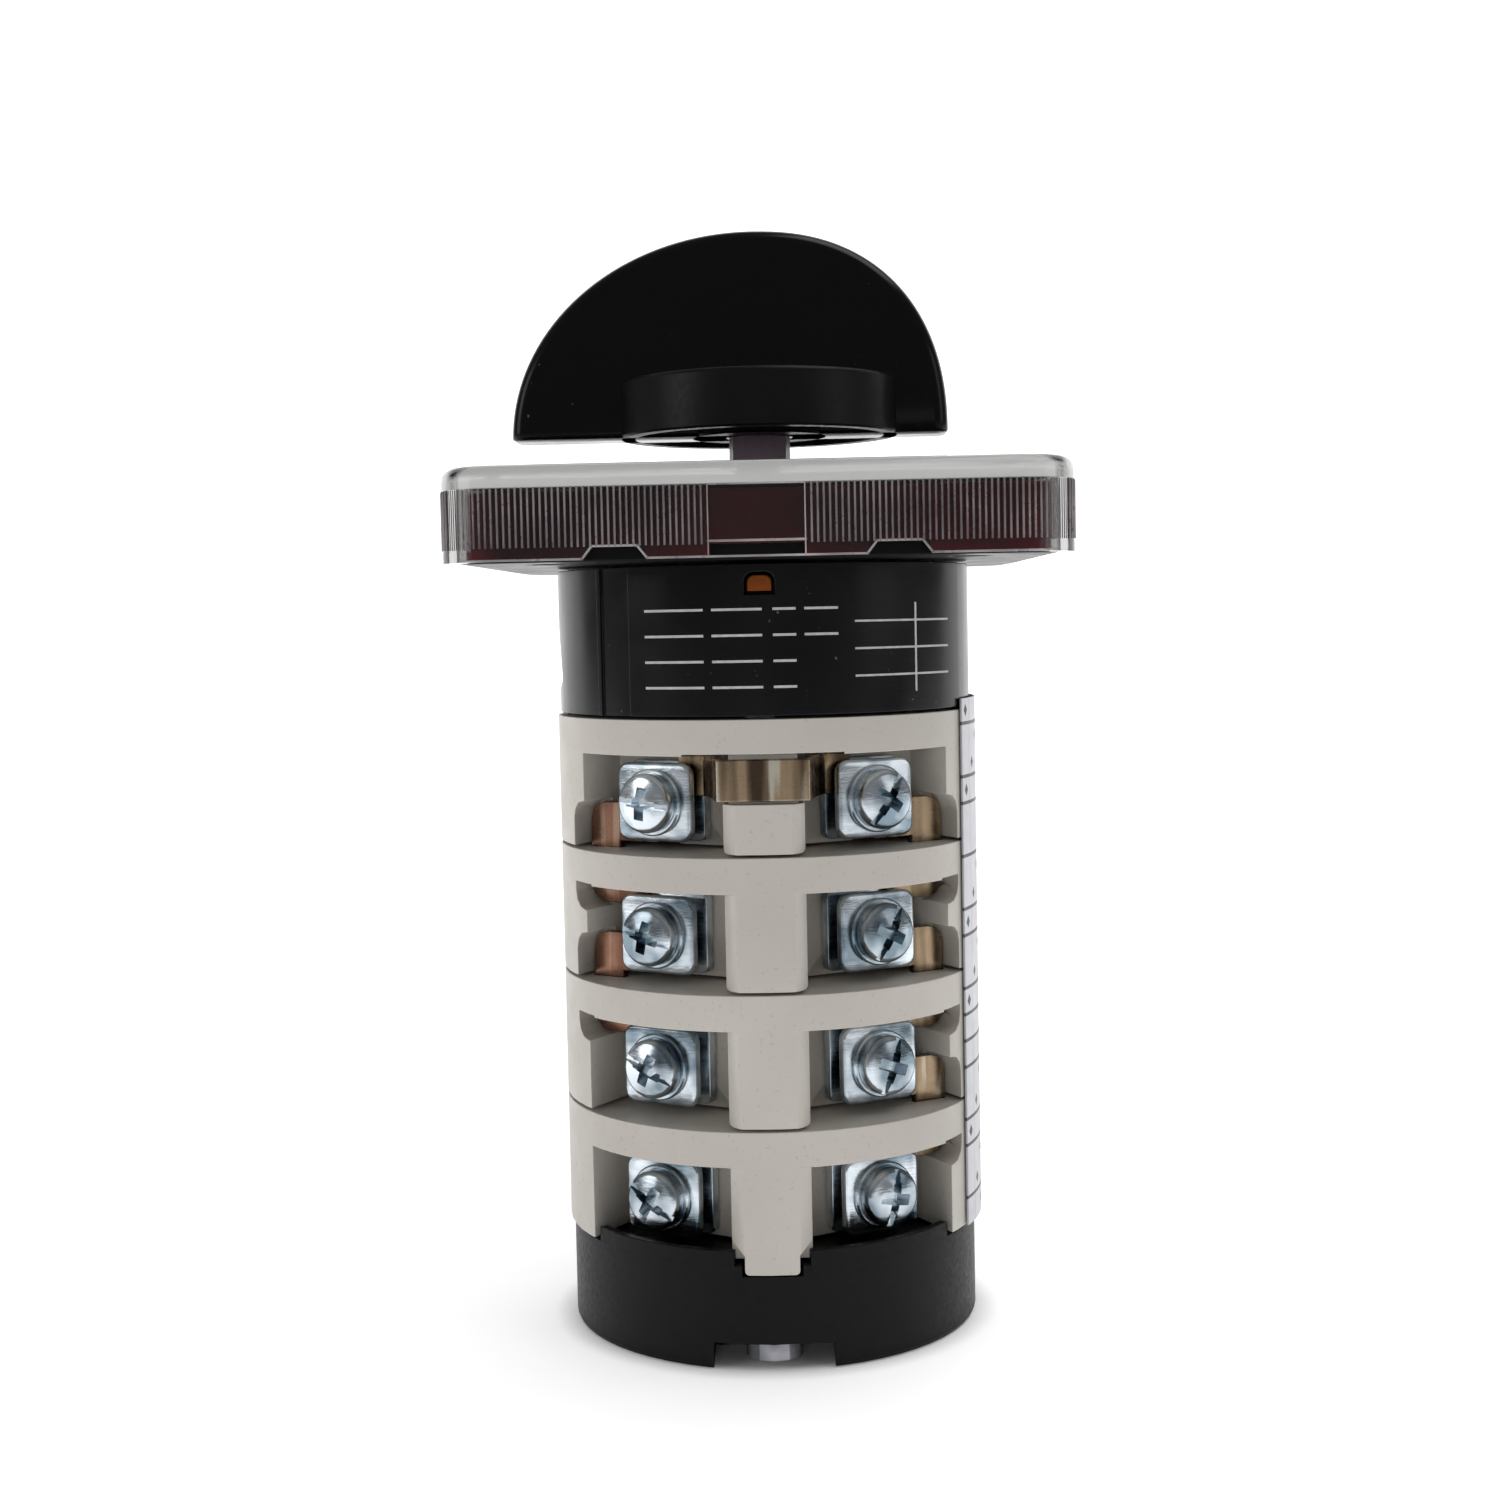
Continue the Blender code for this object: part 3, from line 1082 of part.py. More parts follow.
def make_rear_cap(material):
    cap = cylinder("rear_cap", CAP_RADIUS, (0, CAP_HEIGHT), BODY_SIDES)
    bevel_level(cap, 0, CAP_EDGE_BEVEL)
    lip_inner = CAP_RADIUS - CAP_LIP_THICKNESS
    lip_start = math.asin(((PILLAR_WIDTH + TONGUE_WIDTH) / 4 + SEAT_GAP) / lip_inner)
    lip_end = SCREW_ANGLE + math.asin((POCKET_WALL - 2 * SEAT_GAP) / CAP_RADIUS)
    for side in (1, -1):
        for face in (1, -1):
            front = -math.pi / 2
            outline = arc(CAP_RADIUS, front + lip_start, front + lip_end, LIP_STEPS)
            outline += arc(lip_inner, front + lip_end, front + lip_start, LIP_STEPS)
            level = (CAP_HEIGHT - CUT_MARGIN, CAP_HEIGHT + CAP_LIP_HEIGHT)
            join(cap, mirrored(prism("lip", outline, level), side, face))
        cut(cap, guide_groove(side, CAP_HEIGHT))
    bearing = SHAFT_SQUARE * math.sqrt(0.5) + SLIDE_GAP
    level = (CAP_HEIGHT - BEARING_DEPTH, CAP_HEIGHT + CUT_MARGIN)
    cut(cap, cylinder("bearing", bearing, level, BORE_SIDES))
    for face in (1, -1):
        cut(cap, bolt_hole(face, (CUT_MARGIN, CAP_HEIGHT + CUT_MARGIN)))
        slot = box(
            "slot",
            (-CAP_SLOT_WIDTH / 2, CAP_SLOT_WIDTH / 2),
            (-CAP_RADIUS - CUT_MARGIN, -CAP_SLOT_INNER),
            (-CUT_MARGIN, CAP_SLOT_HEIGHT),
        )
        half = TONGUE_WIDTH / 2 + SEAT_GAP
        seat = box(
            "tongue_seat",
            (-half, half),
            (-CAP_RADIUS - CUT_MARGIN, TONGUE_THICKNESS + CUT_MARGIN - DECK_RADIUS),
            (CAP_HEIGHT - TONGUE_DROP, CAP_HEIGHT + CUT_MARGIN),
        )
        cut(cap, mirrored(slot, 1, face), mirrored(seat, 1, face))
    return finish("rear_cap", baked(cap), material)


def make_tie_bolt(name, face, material):
    centre = (0, -face * BOLT_SPACING)
    head_top = CAP_SLOT_HEIGHT - SEAT_GAP
    head = (head_top - BOLT_HEAD_HEIGHT, head_top)
    bolt = cylinder("bolt_head", BOLT_HEAD_RADIUS, head, BORE_SIDES, centre)
    span = (head_top - BOLT_HEAD_HEIGHT / 2, HOUSING_BOTTOM + BOLT_GRIP_IN_HOUSING)
    join(bolt, cylinder("bolt_shank", BOLT_RADIUS, span, SMALL_SIDES, centre))
    half = SCREW_SLOT_WIDTH / 2
    across = (-BOLT_HEAD_RADIUS - CUT_MARGIN, BOLT_HEAD_RADIUS + CUT_MARGIN)
    depth = (head[0] - CUT_MARGIN, head[0] + SCREW_SLOT_DEPTH)
    cut(bolt, box("bolt_slot", across, (centre[1] - half, centre[1] + half), depth))
    return finish(name, baked(bolt), material)


def make_link(name, deck, side, material):
    """A jumper strip from the clamp of one deck down to the clamp of the next."""
    corner = LINK_CORNER
    low = POCKET_HEIGHT - LINK_DROP - DECK_PITCH
    tab_top = low + LINK_DROP - SEAT_GAP
    high = LINK_RISE
    outline = [(LINK_TAB_END, low)]
    outline += arc(corner, -math.pi / 2, 0, 4, (LINK_SPINE_OUTER - corner, low + corner))
    outline += arc(corner, 0, math.pi / 2, 4, (LINK_SPINE_OUTER - corner, high - corner))
    outline += [(LINK_TAB_END, high), (LINK_TAB_END, SEAT_GAP), (LINK_SPINE_INNER, SEAT_GAP)]
    outline += [(LINK_SPINE_INNER, tab_top), (LINK_TAB_END, tab_top)]
    depth = (LINK_MIDDLE - LINK_THICKNESS / 2, LINK_MIDDLE + LINK_THICKNESS / 2)
    link = mirrored(to_pocket(standing(prism(name, outline, depth))), side, 1)
    return finish(name, baked(link), material, (0, 0, deck_bottom(deck)))


def make_bridge_link(material):
    """The strip that joins both front terminals of the top deck across the pillar."""
    half = LINK_THICKNESS / 2
    front = DECK_RADIUS - SEAT_DEPTH + SEAT_GAP + half
    flank = SEAT_PILLAR_HALF_WIDTH + SEAT_GAP + half
    near_shank = SCREW_OFFSET - SCREW_SHANK_RADIUS - BRIDGE_TAB_TO_SCREW
    right = [
        (flank, -front),
        (flank + BRIDGE_FLARE, -BOLT_SPACING + BRIDGE_FLARE),
        pocket_point(near_shank - BRIDGE_TAB_LENGTH, LINK_MIDDLE),
        pocket_point(near_shank, LINK_MIDDLE),
    ]
    left = [(-x, y) for x, y in reversed(right)]
    outline = ribbon(left + right, LINK_THICKNESS)
    level = (POCKET_HEIGHT - BRIDGE_LINK_HEIGHT - SEAT_GAP, POCKET_HEIGHT - SEAT_GAP)
    link = prism("bridge_link", outline, level)
    return finish("bridge_link", baked(link), material, (0, 0, deck_bottom(BRIDGED_DECK)))


def make_label(material):
    inner = DECK_RADIUS + LABEL_GAP
    outer = inner + LABEL_THICKNESS
    half = LABEL_HALF_ANGLE
    outline = arc(outer, -half, half, LABEL_STEPS) + arc(inner, half, -half, LABEL_STEPS)
    level = (STACK_BOTTOM, HOUSING_BOTTOM + LABEL_TOP_OVERLAP)
    return finish("wiring_label", baked(prism("label", outline, level)), material)


def make_decks(plastic, copper, dark_plastic, spring_steel, cam_plastic):
    """The four decks with their terminals, carriers, springs and cams."""
    sides = (("left", -1), ("right", 1))
    faces = (("front", 1), ("back", -1))
    terminals = {}
    for face_name, face in faces:
        for side_name, side in sides:
            terminals[face_name, side_name] = make_terminal_mesh(side, face)
    carriers = {side_name: make_carrier_mesh(side) for side_name, side in sides}
    cam = make_cam_mesh()
    for deck in range(1, DECK_COUNT + 1):
        place = (0, 0, deck_bottom(deck))
        make_contact_block(deck, plastic)
        finish(f"cam_{deck}", cam, cam_plastic, place)
        for (face_name, side_name), mesh in terminals.items():
            finish(f"terminal_{deck}_{face_name}_{side_name}", mesh, copper, place)
        for side_name, side in sides:
            finish(f"carrier_{deck}_{side_name}", carriers[side_name], dark_plastic, place)
            make_spring(f"carrier_spring_{deck}_{side_name}", side, deck, spring_steel)


def main():
    clear_scene()
    make_collection("cam_switch")
    make_collection("cutters")
    grey_plastic = make_material("grey_plastic", (0.43, 0.41, 0.37), 0.45)
    black_plastic = make_material("black_plastic", (0.012, 0.012, 0.014), 0.25)
    matt_black_plastic = make_material("matt_black_plastic", (0.02, 0.021, 0.023), 0.5)
    clear_plastic = make_material("clear_plastic", (0.9, 0.92, 0.92), 0.05, 0.0, 0.9)
    carrier_plastic = make_material("carrier_plastic", (0.35, 0.06, 0.03), 0.5)
    cam_plastic = make_material("cam_plastic", (0.75, 0.72, 0.64), 0.5)
    orange_plastic = make_material("orange_plastic", (0.4, 0.12, 0.015), 0.4)
    zinc_steel = make_material("zinc_steel", (0.7, 0.74, 0.78), 0.3, 1.0)
    nickel_brass = make_material("nickel_brass", (0.62, 0.56, 0.47), 0.2, 1.0)
    spring_steel = make_material("spring_steel", (0.55, 0.55, 0.55), 0.3, 1.0)
    silver_foil = make_material("silver_foil", (0.75, 0.75, 0.75), 0.4, 0.6)
    white_paper = make_material("white_paper", (0.82, 0.82, 0.84), 0.7)

    make_rear_cap(matt_black_plastic)
    make_decks(grey_plastic, zinc_steel, carrier_plastic, spring_steel, cam_plastic)
    make_housing(black_plastic)
    make_release_tab(orange_plastic)
    make_front_plate(matt_black_plastic)
    make_dial(silver_foil)
    make_cover(clear_plastic)
    make_star_wheel(cam_plastic)
    make_detent_spring("detent_spring_left", -1, spring_steel)
    make_detent_spring("detent_spring_right", 1, spring_steel)
    make_shaft(matt_black_plastic)
    make_handle(black_plastic)
    make_tie_bolt("tie_bolt_front", 1, zinc_steel)
    make_tie_bolt("tie_bolt_back", -1, zinc_steel)
    for deck in LEFT_LINKS:
        make_link(f"left_link_{deck}_{deck + 1}", deck, -1, nickel_brass)
    for deck in RIGHT_LINKS:
        make_link(f"right_link_{deck}_{deck + 1}", deck, 1, nickel_brass)
    make_bridge_link(nickel_brass)
    make_label(white_paper)


main()
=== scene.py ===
"""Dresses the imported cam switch: finer metalwork, handle, clear cover and finishes."""

import json
import math

import bmesh
import bpy
from mathutils import Matrix, Vector

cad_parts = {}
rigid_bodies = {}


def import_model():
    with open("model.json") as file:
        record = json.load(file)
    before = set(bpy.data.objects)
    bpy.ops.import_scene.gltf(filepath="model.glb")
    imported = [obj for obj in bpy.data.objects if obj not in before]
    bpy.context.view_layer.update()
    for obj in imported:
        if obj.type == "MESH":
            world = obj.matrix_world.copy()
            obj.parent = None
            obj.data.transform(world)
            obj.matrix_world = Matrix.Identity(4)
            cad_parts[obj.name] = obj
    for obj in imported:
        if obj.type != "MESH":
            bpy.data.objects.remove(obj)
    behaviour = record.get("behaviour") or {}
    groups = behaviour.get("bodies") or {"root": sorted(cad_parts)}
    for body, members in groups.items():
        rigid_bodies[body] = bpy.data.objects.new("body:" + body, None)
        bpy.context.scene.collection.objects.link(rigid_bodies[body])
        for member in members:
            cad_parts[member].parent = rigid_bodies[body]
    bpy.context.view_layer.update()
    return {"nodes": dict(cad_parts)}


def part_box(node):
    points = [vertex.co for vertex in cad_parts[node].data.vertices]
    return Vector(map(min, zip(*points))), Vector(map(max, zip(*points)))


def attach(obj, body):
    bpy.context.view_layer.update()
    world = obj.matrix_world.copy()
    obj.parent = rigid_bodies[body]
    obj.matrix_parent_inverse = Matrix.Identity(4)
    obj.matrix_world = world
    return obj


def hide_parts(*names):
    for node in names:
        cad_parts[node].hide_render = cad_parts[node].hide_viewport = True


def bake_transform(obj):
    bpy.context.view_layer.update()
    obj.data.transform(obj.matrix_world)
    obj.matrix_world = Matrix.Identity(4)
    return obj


bl_info = {
    "name": "Cam Switch",
    "version": (1, 0, 0),
    "blender": (4, 5, 0),
    "location": "3D View > Sidebar > Cam Switch",
    "description": "Models the visible pieces and finishes of a four-deck cam switch",
    "category": "Add Mesh",
}

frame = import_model()

MM = 0.001
DECKS = (1, 2, 3, 4)
FIXED_BODY = "switch_body"
ROTOR_BODY = "rotor"
SIDES = (("left", -1), ("right", 1))
FACES = (("front", 1), ("back", -1))
TINY = 0.001 * MM
# Material number of the dark teal metal in the screw recesses: painted shade and painted dark
# reflection in the recess.
RECESS_PAINTED_SHADE = 3
CHART_ROWS = 20
CHART_COLUMNS = 8


def srgb(red, green, blue):
    """A colour given as 0 to 255 display values, as scene linear values."""

    def linear(value):
        value /= 255
        return value / 12.92 if value <= 0.04045 else ((value + 0.055) / 1.055) ** 2.4

    return linear(red), linear(green), linear(blue)


def colour_property(text, *values):
    """A colour setting, given as 0 to 255 display values."""
    return bpy.props.FloatVectorProperty(
        name=text, subtype="COLOR", size=3, min=0, max=1, default=srgb(*values)
    )


def length_property(text, millimetres):
    return bpy.props.FloatProperty(
        name=text, default=millimetres * MM, min=0, unit="LENGTH", precision=5
    )


class SpringSizes(bpy.types.PropertyGroup):
    wire_radius: length_property("Radius of the wire", 0.25)
    coil_radius: length_property("From the coil's axis to the wire", 1.5)
    turns: bpy.props.IntProperty(name="Turns of wire", default=3, min=1)
    flat: length_property("Length at each end that keeps its shape", 0.3)
    leaf_drop: length_property("Room over a leaf for the stop lug", 0.9)


class SwitchColours(bpy.types.PropertyGroup):
    handle: colour_property("Glossy plastic of the handle", 6, 6, 8)
    housing: colour_property("Glossy plastic of the housing", 9, 9, 11)
    cap: colour_property("Matt plastic of the rear cap", 11, 11, 13)
    plate: colour_property("Plastic of the plate behind the cover", 122, 24, 34)
    block: colour_property("Moulded plastic of the contact decks", 186, 181, 173)
    zinc: colour_property("Plating of screws and clamps", 200, 208, 214)
    # The cream of the links' bright bands is painted reflection.
    link: colour_property("Bright bands on the jumper links", 206, 200, 182)
    tab: colour_property("Plastic of the release tab", 116, 56, 10)
    # A grey below the white of the paper: the lowering is painted shade, for the label's place on
    # the shaded right side.
    label: colour_property("Paper of the wiring label", 202, 202, 207)
    ink: colour_property("Print on label and dial", 20, 20, 24)
    print: colour_property("Ruled lines on the housing", 186, 188, 190)


class HandleSizes(bpy.types.PropertyGroup):
    blade_width: length_property("Thickness of the grip", 6.8)
    left_reach: length_property("From the shaft to the pointer's tip", 25.4)
    right_reach: length_property("From the shaft to the heel", 19.4)
    peak: length_property("How far the highest point sits to the left", 0.6)
    rim: length_property("Rounding of the grip's rims", 1.4)
    collar_radius: length_property("Radius of the round collar", 14.45)
    collar_height: length_property("Height of the round collar", 5.8)
    collar_wall: length_property("Thickness of the collar's wall", 1.8)
    collar_depth: length_property("Depth of the collar's hollow", 2.5)
    hub_radius: length_property("Radius of the hub in the hollow", 7.1)
    bore_radius: length_property("Radius of the hub's bore", 3.45)


class CoverSizes(bpy.types.PropertyGroup):
    side: length_property("Width of the square cover", 58.6)
    corner: length_property("Corner radius of the cover", 5.5)
    wall: length_property("Thickness of the side walls", 1.5)
    rib_pitch: length_property("Distance between ribs", 0.56)
    rib_depth: length_property("How far the ribs stand out", 0.08)
    rib_low: length_property("Height of the lower end of the ribs", 79.4)
    rib_high: length_property("Height of the upper end of the ribs", 84.8)
    rib_start: length_property("Distance of the first rib from the middle", 4.7)
    rib_end: length_property("Where the ribs end, measured along the wall", 27.3)
    notch_middle: length_property("From the middle to a pry notch", 12.9)
    notch_foot: length_property("Half a pry notch's width at its foot", 2.85)
    notch_head: length_property("Half a pry notch's width at its head", 1.98)
    notch_tall: length_property("Height of a pry notch", 1.2)
    panel_half: length_property("Half the width of the plain middle panel", 4.3)
    panel_high: length_property("Height of the panel's upper edge", 84.65)
    hole_radius: length_property("Radius of the hole for the shaft", 3.6)


class TerminalSizes(bpy.types.PropertyGroup):
    offset: length_property("Screw's distance from the pocket's middle", 3.0)
    height: length_property("Screw's height above the deck's foot", 4.5)
    bar_back: length_property("Depth of the contact bar's back", 13.0)
    bar_front: length_property("Depth of the contact bar's front", 14.2)
    bar_width: length_property("Width of the contact bar", 8.6)
    clamp_back: length_property("Depth of the clamp's back", 15.8)
    clamp_front: length_property("Depth of the clamp's front", 16.8)
    clamp_width: length_property("Width of the clamp plate", 8.6)
    clamp_tall: length_property("Height of the clamp plate", 7.8)
    head_radius: length_property("Radius of the screw's head", 2.95)
    head_height: length_property("Height of the screw's head", 2.0)
    crown: length_property("Height of the head's crown", 0.45)
    washer_radius: length_property("Radius of the washer", 3.35)
    washer: length_property("Thickness of the washer", 0.6)
    shank_radius: length_property("Radius of the screw's thread", 1.6)
    thread_pitch: length_property("Pitch of the screw's thread", 0.7)


# Mesh tools


def linked(name, data):
    """A new object in the scene."""
    obj = bpy.data.objects.new(name, data)
    bpy.context.scene.collection.objects.link(obj)
    return obj


def as_mesh(name, bm):
    """A finished bmesh as a mesh."""
    mesh = bpy.data.meshes.new(name)
    bm.to_mesh(mesh)
    bm.free()
    return mesh


def reopened(mesh):
    """A mesh as a bmesh. The mesh is removed."""
    bm = bmesh.new()
    bm.from_mesh(mesh)
    bpy.data.meshes.remove(mesh)
    return bm


def baked(obj, *tools):
    """An object's shape under its modifiers, as a mesh. Object and tools are removed."""
    bpy.context.view_layer.update()
    depsgraph = bpy.context.evaluated_depsgraph_get()
    mesh = bpy.data.meshes.new_from_object(obj.evaluated_get(depsgraph))
    for one in (obj, *tools):
        data = one.data
        bpy.data.objects.remove(one)
        bpy.data.batch_remove([data])
    return mesh


def smooth_mesh(name, bm, angle):
    """A finished bmesh as a mesh, smooth but for its edges over an angle in degrees."""
    mesh = as_mesh(name, bm)
    mesh.shade_smooth()
    mesh.set_sharp_from_angle(angle=math.radians(angle))
    return mesh


def piece(name, bm, body, material, slot, *nodes, smooth=35):
    """Makes a finished bmesh a piece that rides on a body and stands for CAD nodes."""
    return placed(name, smooth_mesh(name, bm, smooth), body, material, slot, *nodes)


def placed(name, mesh, body, material, slot, *nodes):
    """Makes a mesh a piece that rides on a body and stands for CAD nodes."""
    if not mesh.polygons:
        raise RuntimeError(f"{name} has no faces")
    mesh.materials.clear()
    for one in material if isinstance(material, (list, tuple)) else [material]:
        mesh.materials.append(one)
    obj = linked(name, mesh)
    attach(obj, body)
    if nodes:
        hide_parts(*nodes)
    return obj


def about_z(angle):
    return Matrix.Rotation(angle, 4, "Z")


def polyline(bm, points):
    """Points joined by edges. Returns both."""
    verts = [bm.verts.new(point) for point in points]
    return verts, [bm.edges.new(pair) for pair in zip(verts, verts[1:])]


def turned_profile(profile, segments):
    """A closed solid of revolution about Z. The profile runs from axis to axis."""
    bm = bmesh.new()
    verts, edges = polyline(bm, [(x, 0, z) for x, z in profile])
    bmesh.ops.spin(
        bm,
        geom=verts + edges,
        cent=(0, 0, 0),
        axis=(0, 0, 1),
        angle=2 * math.pi,
        steps=segments,
        use_merge=True,
        use_duplicate=False,
    )
    bmesh.ops.remove_doubles(bm, verts=bm.verts, dist=TINY)
    bmesh.ops.recalc_face_normals(bm, faces=bm.faces)
    return bm


def cylinder(radius, low, high, segments):
    return turned_profile([(0, high), (radius, high), (radius, low), (0, low)], segments)


def corner_arc(radius, top, edge):
    """The rounding between a flat top and an upright flank, as part of a profile."""
    turns = [math.radians(22.5 * step) for step in range(5)]
    middle_x, middle_z = radius - edge, top - edge
    return [(middle_x + edge * math.sin(turn), middle_z + edge * math.cos(turn)) for turn in turns]


def arc_strip(inner, outer, low, high, start, angle, steps):
    """A thin strip bent round Z, from a starting direction through an angle."""
    bm = bmesh.new()
    corners = ((inner, low), (inner, high), (outer, high), (outer, low))
    x, y = math.cos(start), math.sin(start)
    face = bm.faces.new([bm.verts.new((reach * x, reach * y, z)) for reach, z in corners])
    bmesh.ops.spin(
        bm, geom=[face], cent=(0, 0, 0), axis=(0, 0, 1), angle=angle, steps=steps, use_merge=False
    )
    bmesh.ops.recalc_face_normals(bm, faces=bm.faces)
    return bm


def shift_new(bm, grown, way):
    """Moves the vertices that an extrusion has made."""
    verts = [item for item in grown["geom"] if isinstance(item, bmesh.types.BMVert)]
    bmesh.ops.translate(bm, verts=verts, vec=way)


def thickened(bm, way):
    """A flat bmesh, drawn out into a solid."""
    shift_new(bm, bmesh.ops.extrude_face_region(bm, geom=bm.faces[:]), way)
    bmesh.ops.recalc_face_normals(bm, faces=bm.faces)
    return bm


def raised(outline, low, high):
    """A flat outline in X and Y, raised from one level to another."""
    bm = bmesh.new()
    bm.faces.new([bm.verts.new((x, y, low)) for x, y in outline])
    return thickened(bm, (0, 0, high - low))


def block(x_range, y_range, z_range):
    bm = bmesh.new()
    bmesh.ops.create_cube(bm, size=1)
    ranges = (x_range, y_range, z_range)
    bmesh.ops.scale(bm, verts=bm.verts, vec=[high - low for low, high in ranges])
    bmesh.ops.translate(bm, verts=bm.verts, vec=[(high + low) / 2 for low, high in ranges])
    return bm


def round_edges(bm, width, segments=2, chosen=None, clamp=True):
    bmesh.ops.bevel(
        bm,
        geom=[edge for edge in bm.edges if chosen is None or chosen(edge)],
        offset=width,
        segments=segments,
        profile=0.5,
        affect="EDGES",
        material=-1,
        clamp_overlap=clamp,
    )
    return bm


def sharp(edge, degrees=30):
    return len(edge.link_faces) == 2 and edge.calc_face_angle() > math.radians(degrees)


def upright(edge):
    return abs(edge.verts[0].co.z - edge.verts[1].co.z) > 0.5 * MM


def moved(bm, matrix):
    bmesh.ops.transform(bm, matrix=matrix, verts=bm.verts)
    if matrix.determinant() < 0:
        bmesh.ops.reverse_faces(bm, faces=bm.faces)
    return bm


def gathered(whole, *parts):
    """Adds parts to a bmesh, and frees them."""
    for part in parts:
        mesh = as_mesh("part", part)
        whole.from_mesh(mesh)
        bpy.data.meshes.remove(mesh)
    return whole


def carved(bm, *cutters):
    """Cuts cutters out of a bmesh, and frees them."""
    body = linked("carved", as_mesh("carved", bm))
    tools = [linked("cutter", as_mesh("cutter", cutter)) for cutter in cutters]
    for tool in tools:
        modifier = body.modifiers.new("cut", "BOOLEAN")
        modifier.operation = "DIFFERENCE"
        modifier.solver = "EXACT"
        modifier.object = tool
    return reopened(baked(body, *tools))


def copied(node, merged):
    """A CAD node's shape as a bmesh, with vertices closer than a distance merged."""
    bm = bmesh.new()
    bm.from_mesh(frame["nodes"][node].data)
    bmesh.ops.remove_doubles(bm, verts=bm.verts, dist=merged)
    return bm


def softened(node, body, material, slot, width, room=0.22 * MM, foot_corner=0.0):
    """A copy of a CAD node, its edges rounded and its drum shaded as a true round.

    An edge stays sharp where one that is shorter than room meets it.
    """
    sharp_degrees = 32
    bm = copied(node, 0.02 * MM)
    bmesh.ops.dissolve_limit(
        bm, angle_limit=math.radians(1), verts=bm.verts, edges=bm.edges, delimit={"NORMAL"}
    )
    if foot_corner:
        low = min(vert.co.z for vert in bm.verts)

        def at_foot(edge):
            first, second = (vert.co for vert in edge.verts)
            along_y = abs(first.x - second.x) < 0.01 * MM and abs(first.y - second.y) > MM
            return along_y and max(first.z, second.z) < low + 0.01 * MM and sharp(edge)

        round_edges(bm, foot_corner, 4, at_foot)
    tight = set()
    for vert in bm.verts:
        if min(edge.calc_length() for edge in vert.link_edges) < room:
            tight.add(vert)
    weights = bm.edges.layers.float.new("bevel_weight_edge")
    for edge in bm.edges:
        edge[weights] = float(sharp(edge, sharp_degrees) and tight.isdisjoint(edge.verts))
    plain = linked("plain", smooth_mesh("plain", bm, sharp_degrees))
    modifier = plain.modifiers.new("Rounded edges", "BEVEL")
    modifier.width = width
    modifier.segments = 2
    modifier.limit_method = "WEIGHT"
    modifier.use_clamp_overlap = False
    modifier.harden_normals = True
    mesh = baked(plain)
    mesh.name = f"{node}_shape"
    shaded_round(mesh)
    return placed(f"{node}_shape", mesh, body, material, slot, node)


def shaded_round(mesh):
    """Points the normals of a drum's facets straight out, so that it shades as round."""
    upright_normal = 0.06
    normals = [Vector(corner.vector) for corner in mesh.corner_normals]
    drum = max(vert.co.xy.length for vert in mesh.vertices) - 0.35 * MM
    for face in mesh.polygons:
        middle = Vector((face.center.x, face.center.y, 0))
        flank = abs(face.normal.z) < upright_normal and middle.length > drum
        facet = flank and face.normal.angle(middle) < math.radians(5)
        for index in face.loop_indices:
            spot = mesh.vertices[mesh.loops[index].vertex_index].co
            outward = Vector((spot.x, spot.y, 0)).normalized()
            normal = normals[index]
            near = spot.xy.length > drum and abs(normal.z) < upright_normal
            if facet or (near and normal.angle(outward) < math.radians(8)):
                normals[index] = outward
    mesh.normals_split_custom_set(normals)


def deck_bottom(deck):
    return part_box(f"cam_{deck}")[0].z - 0.15 * MM


# Materials


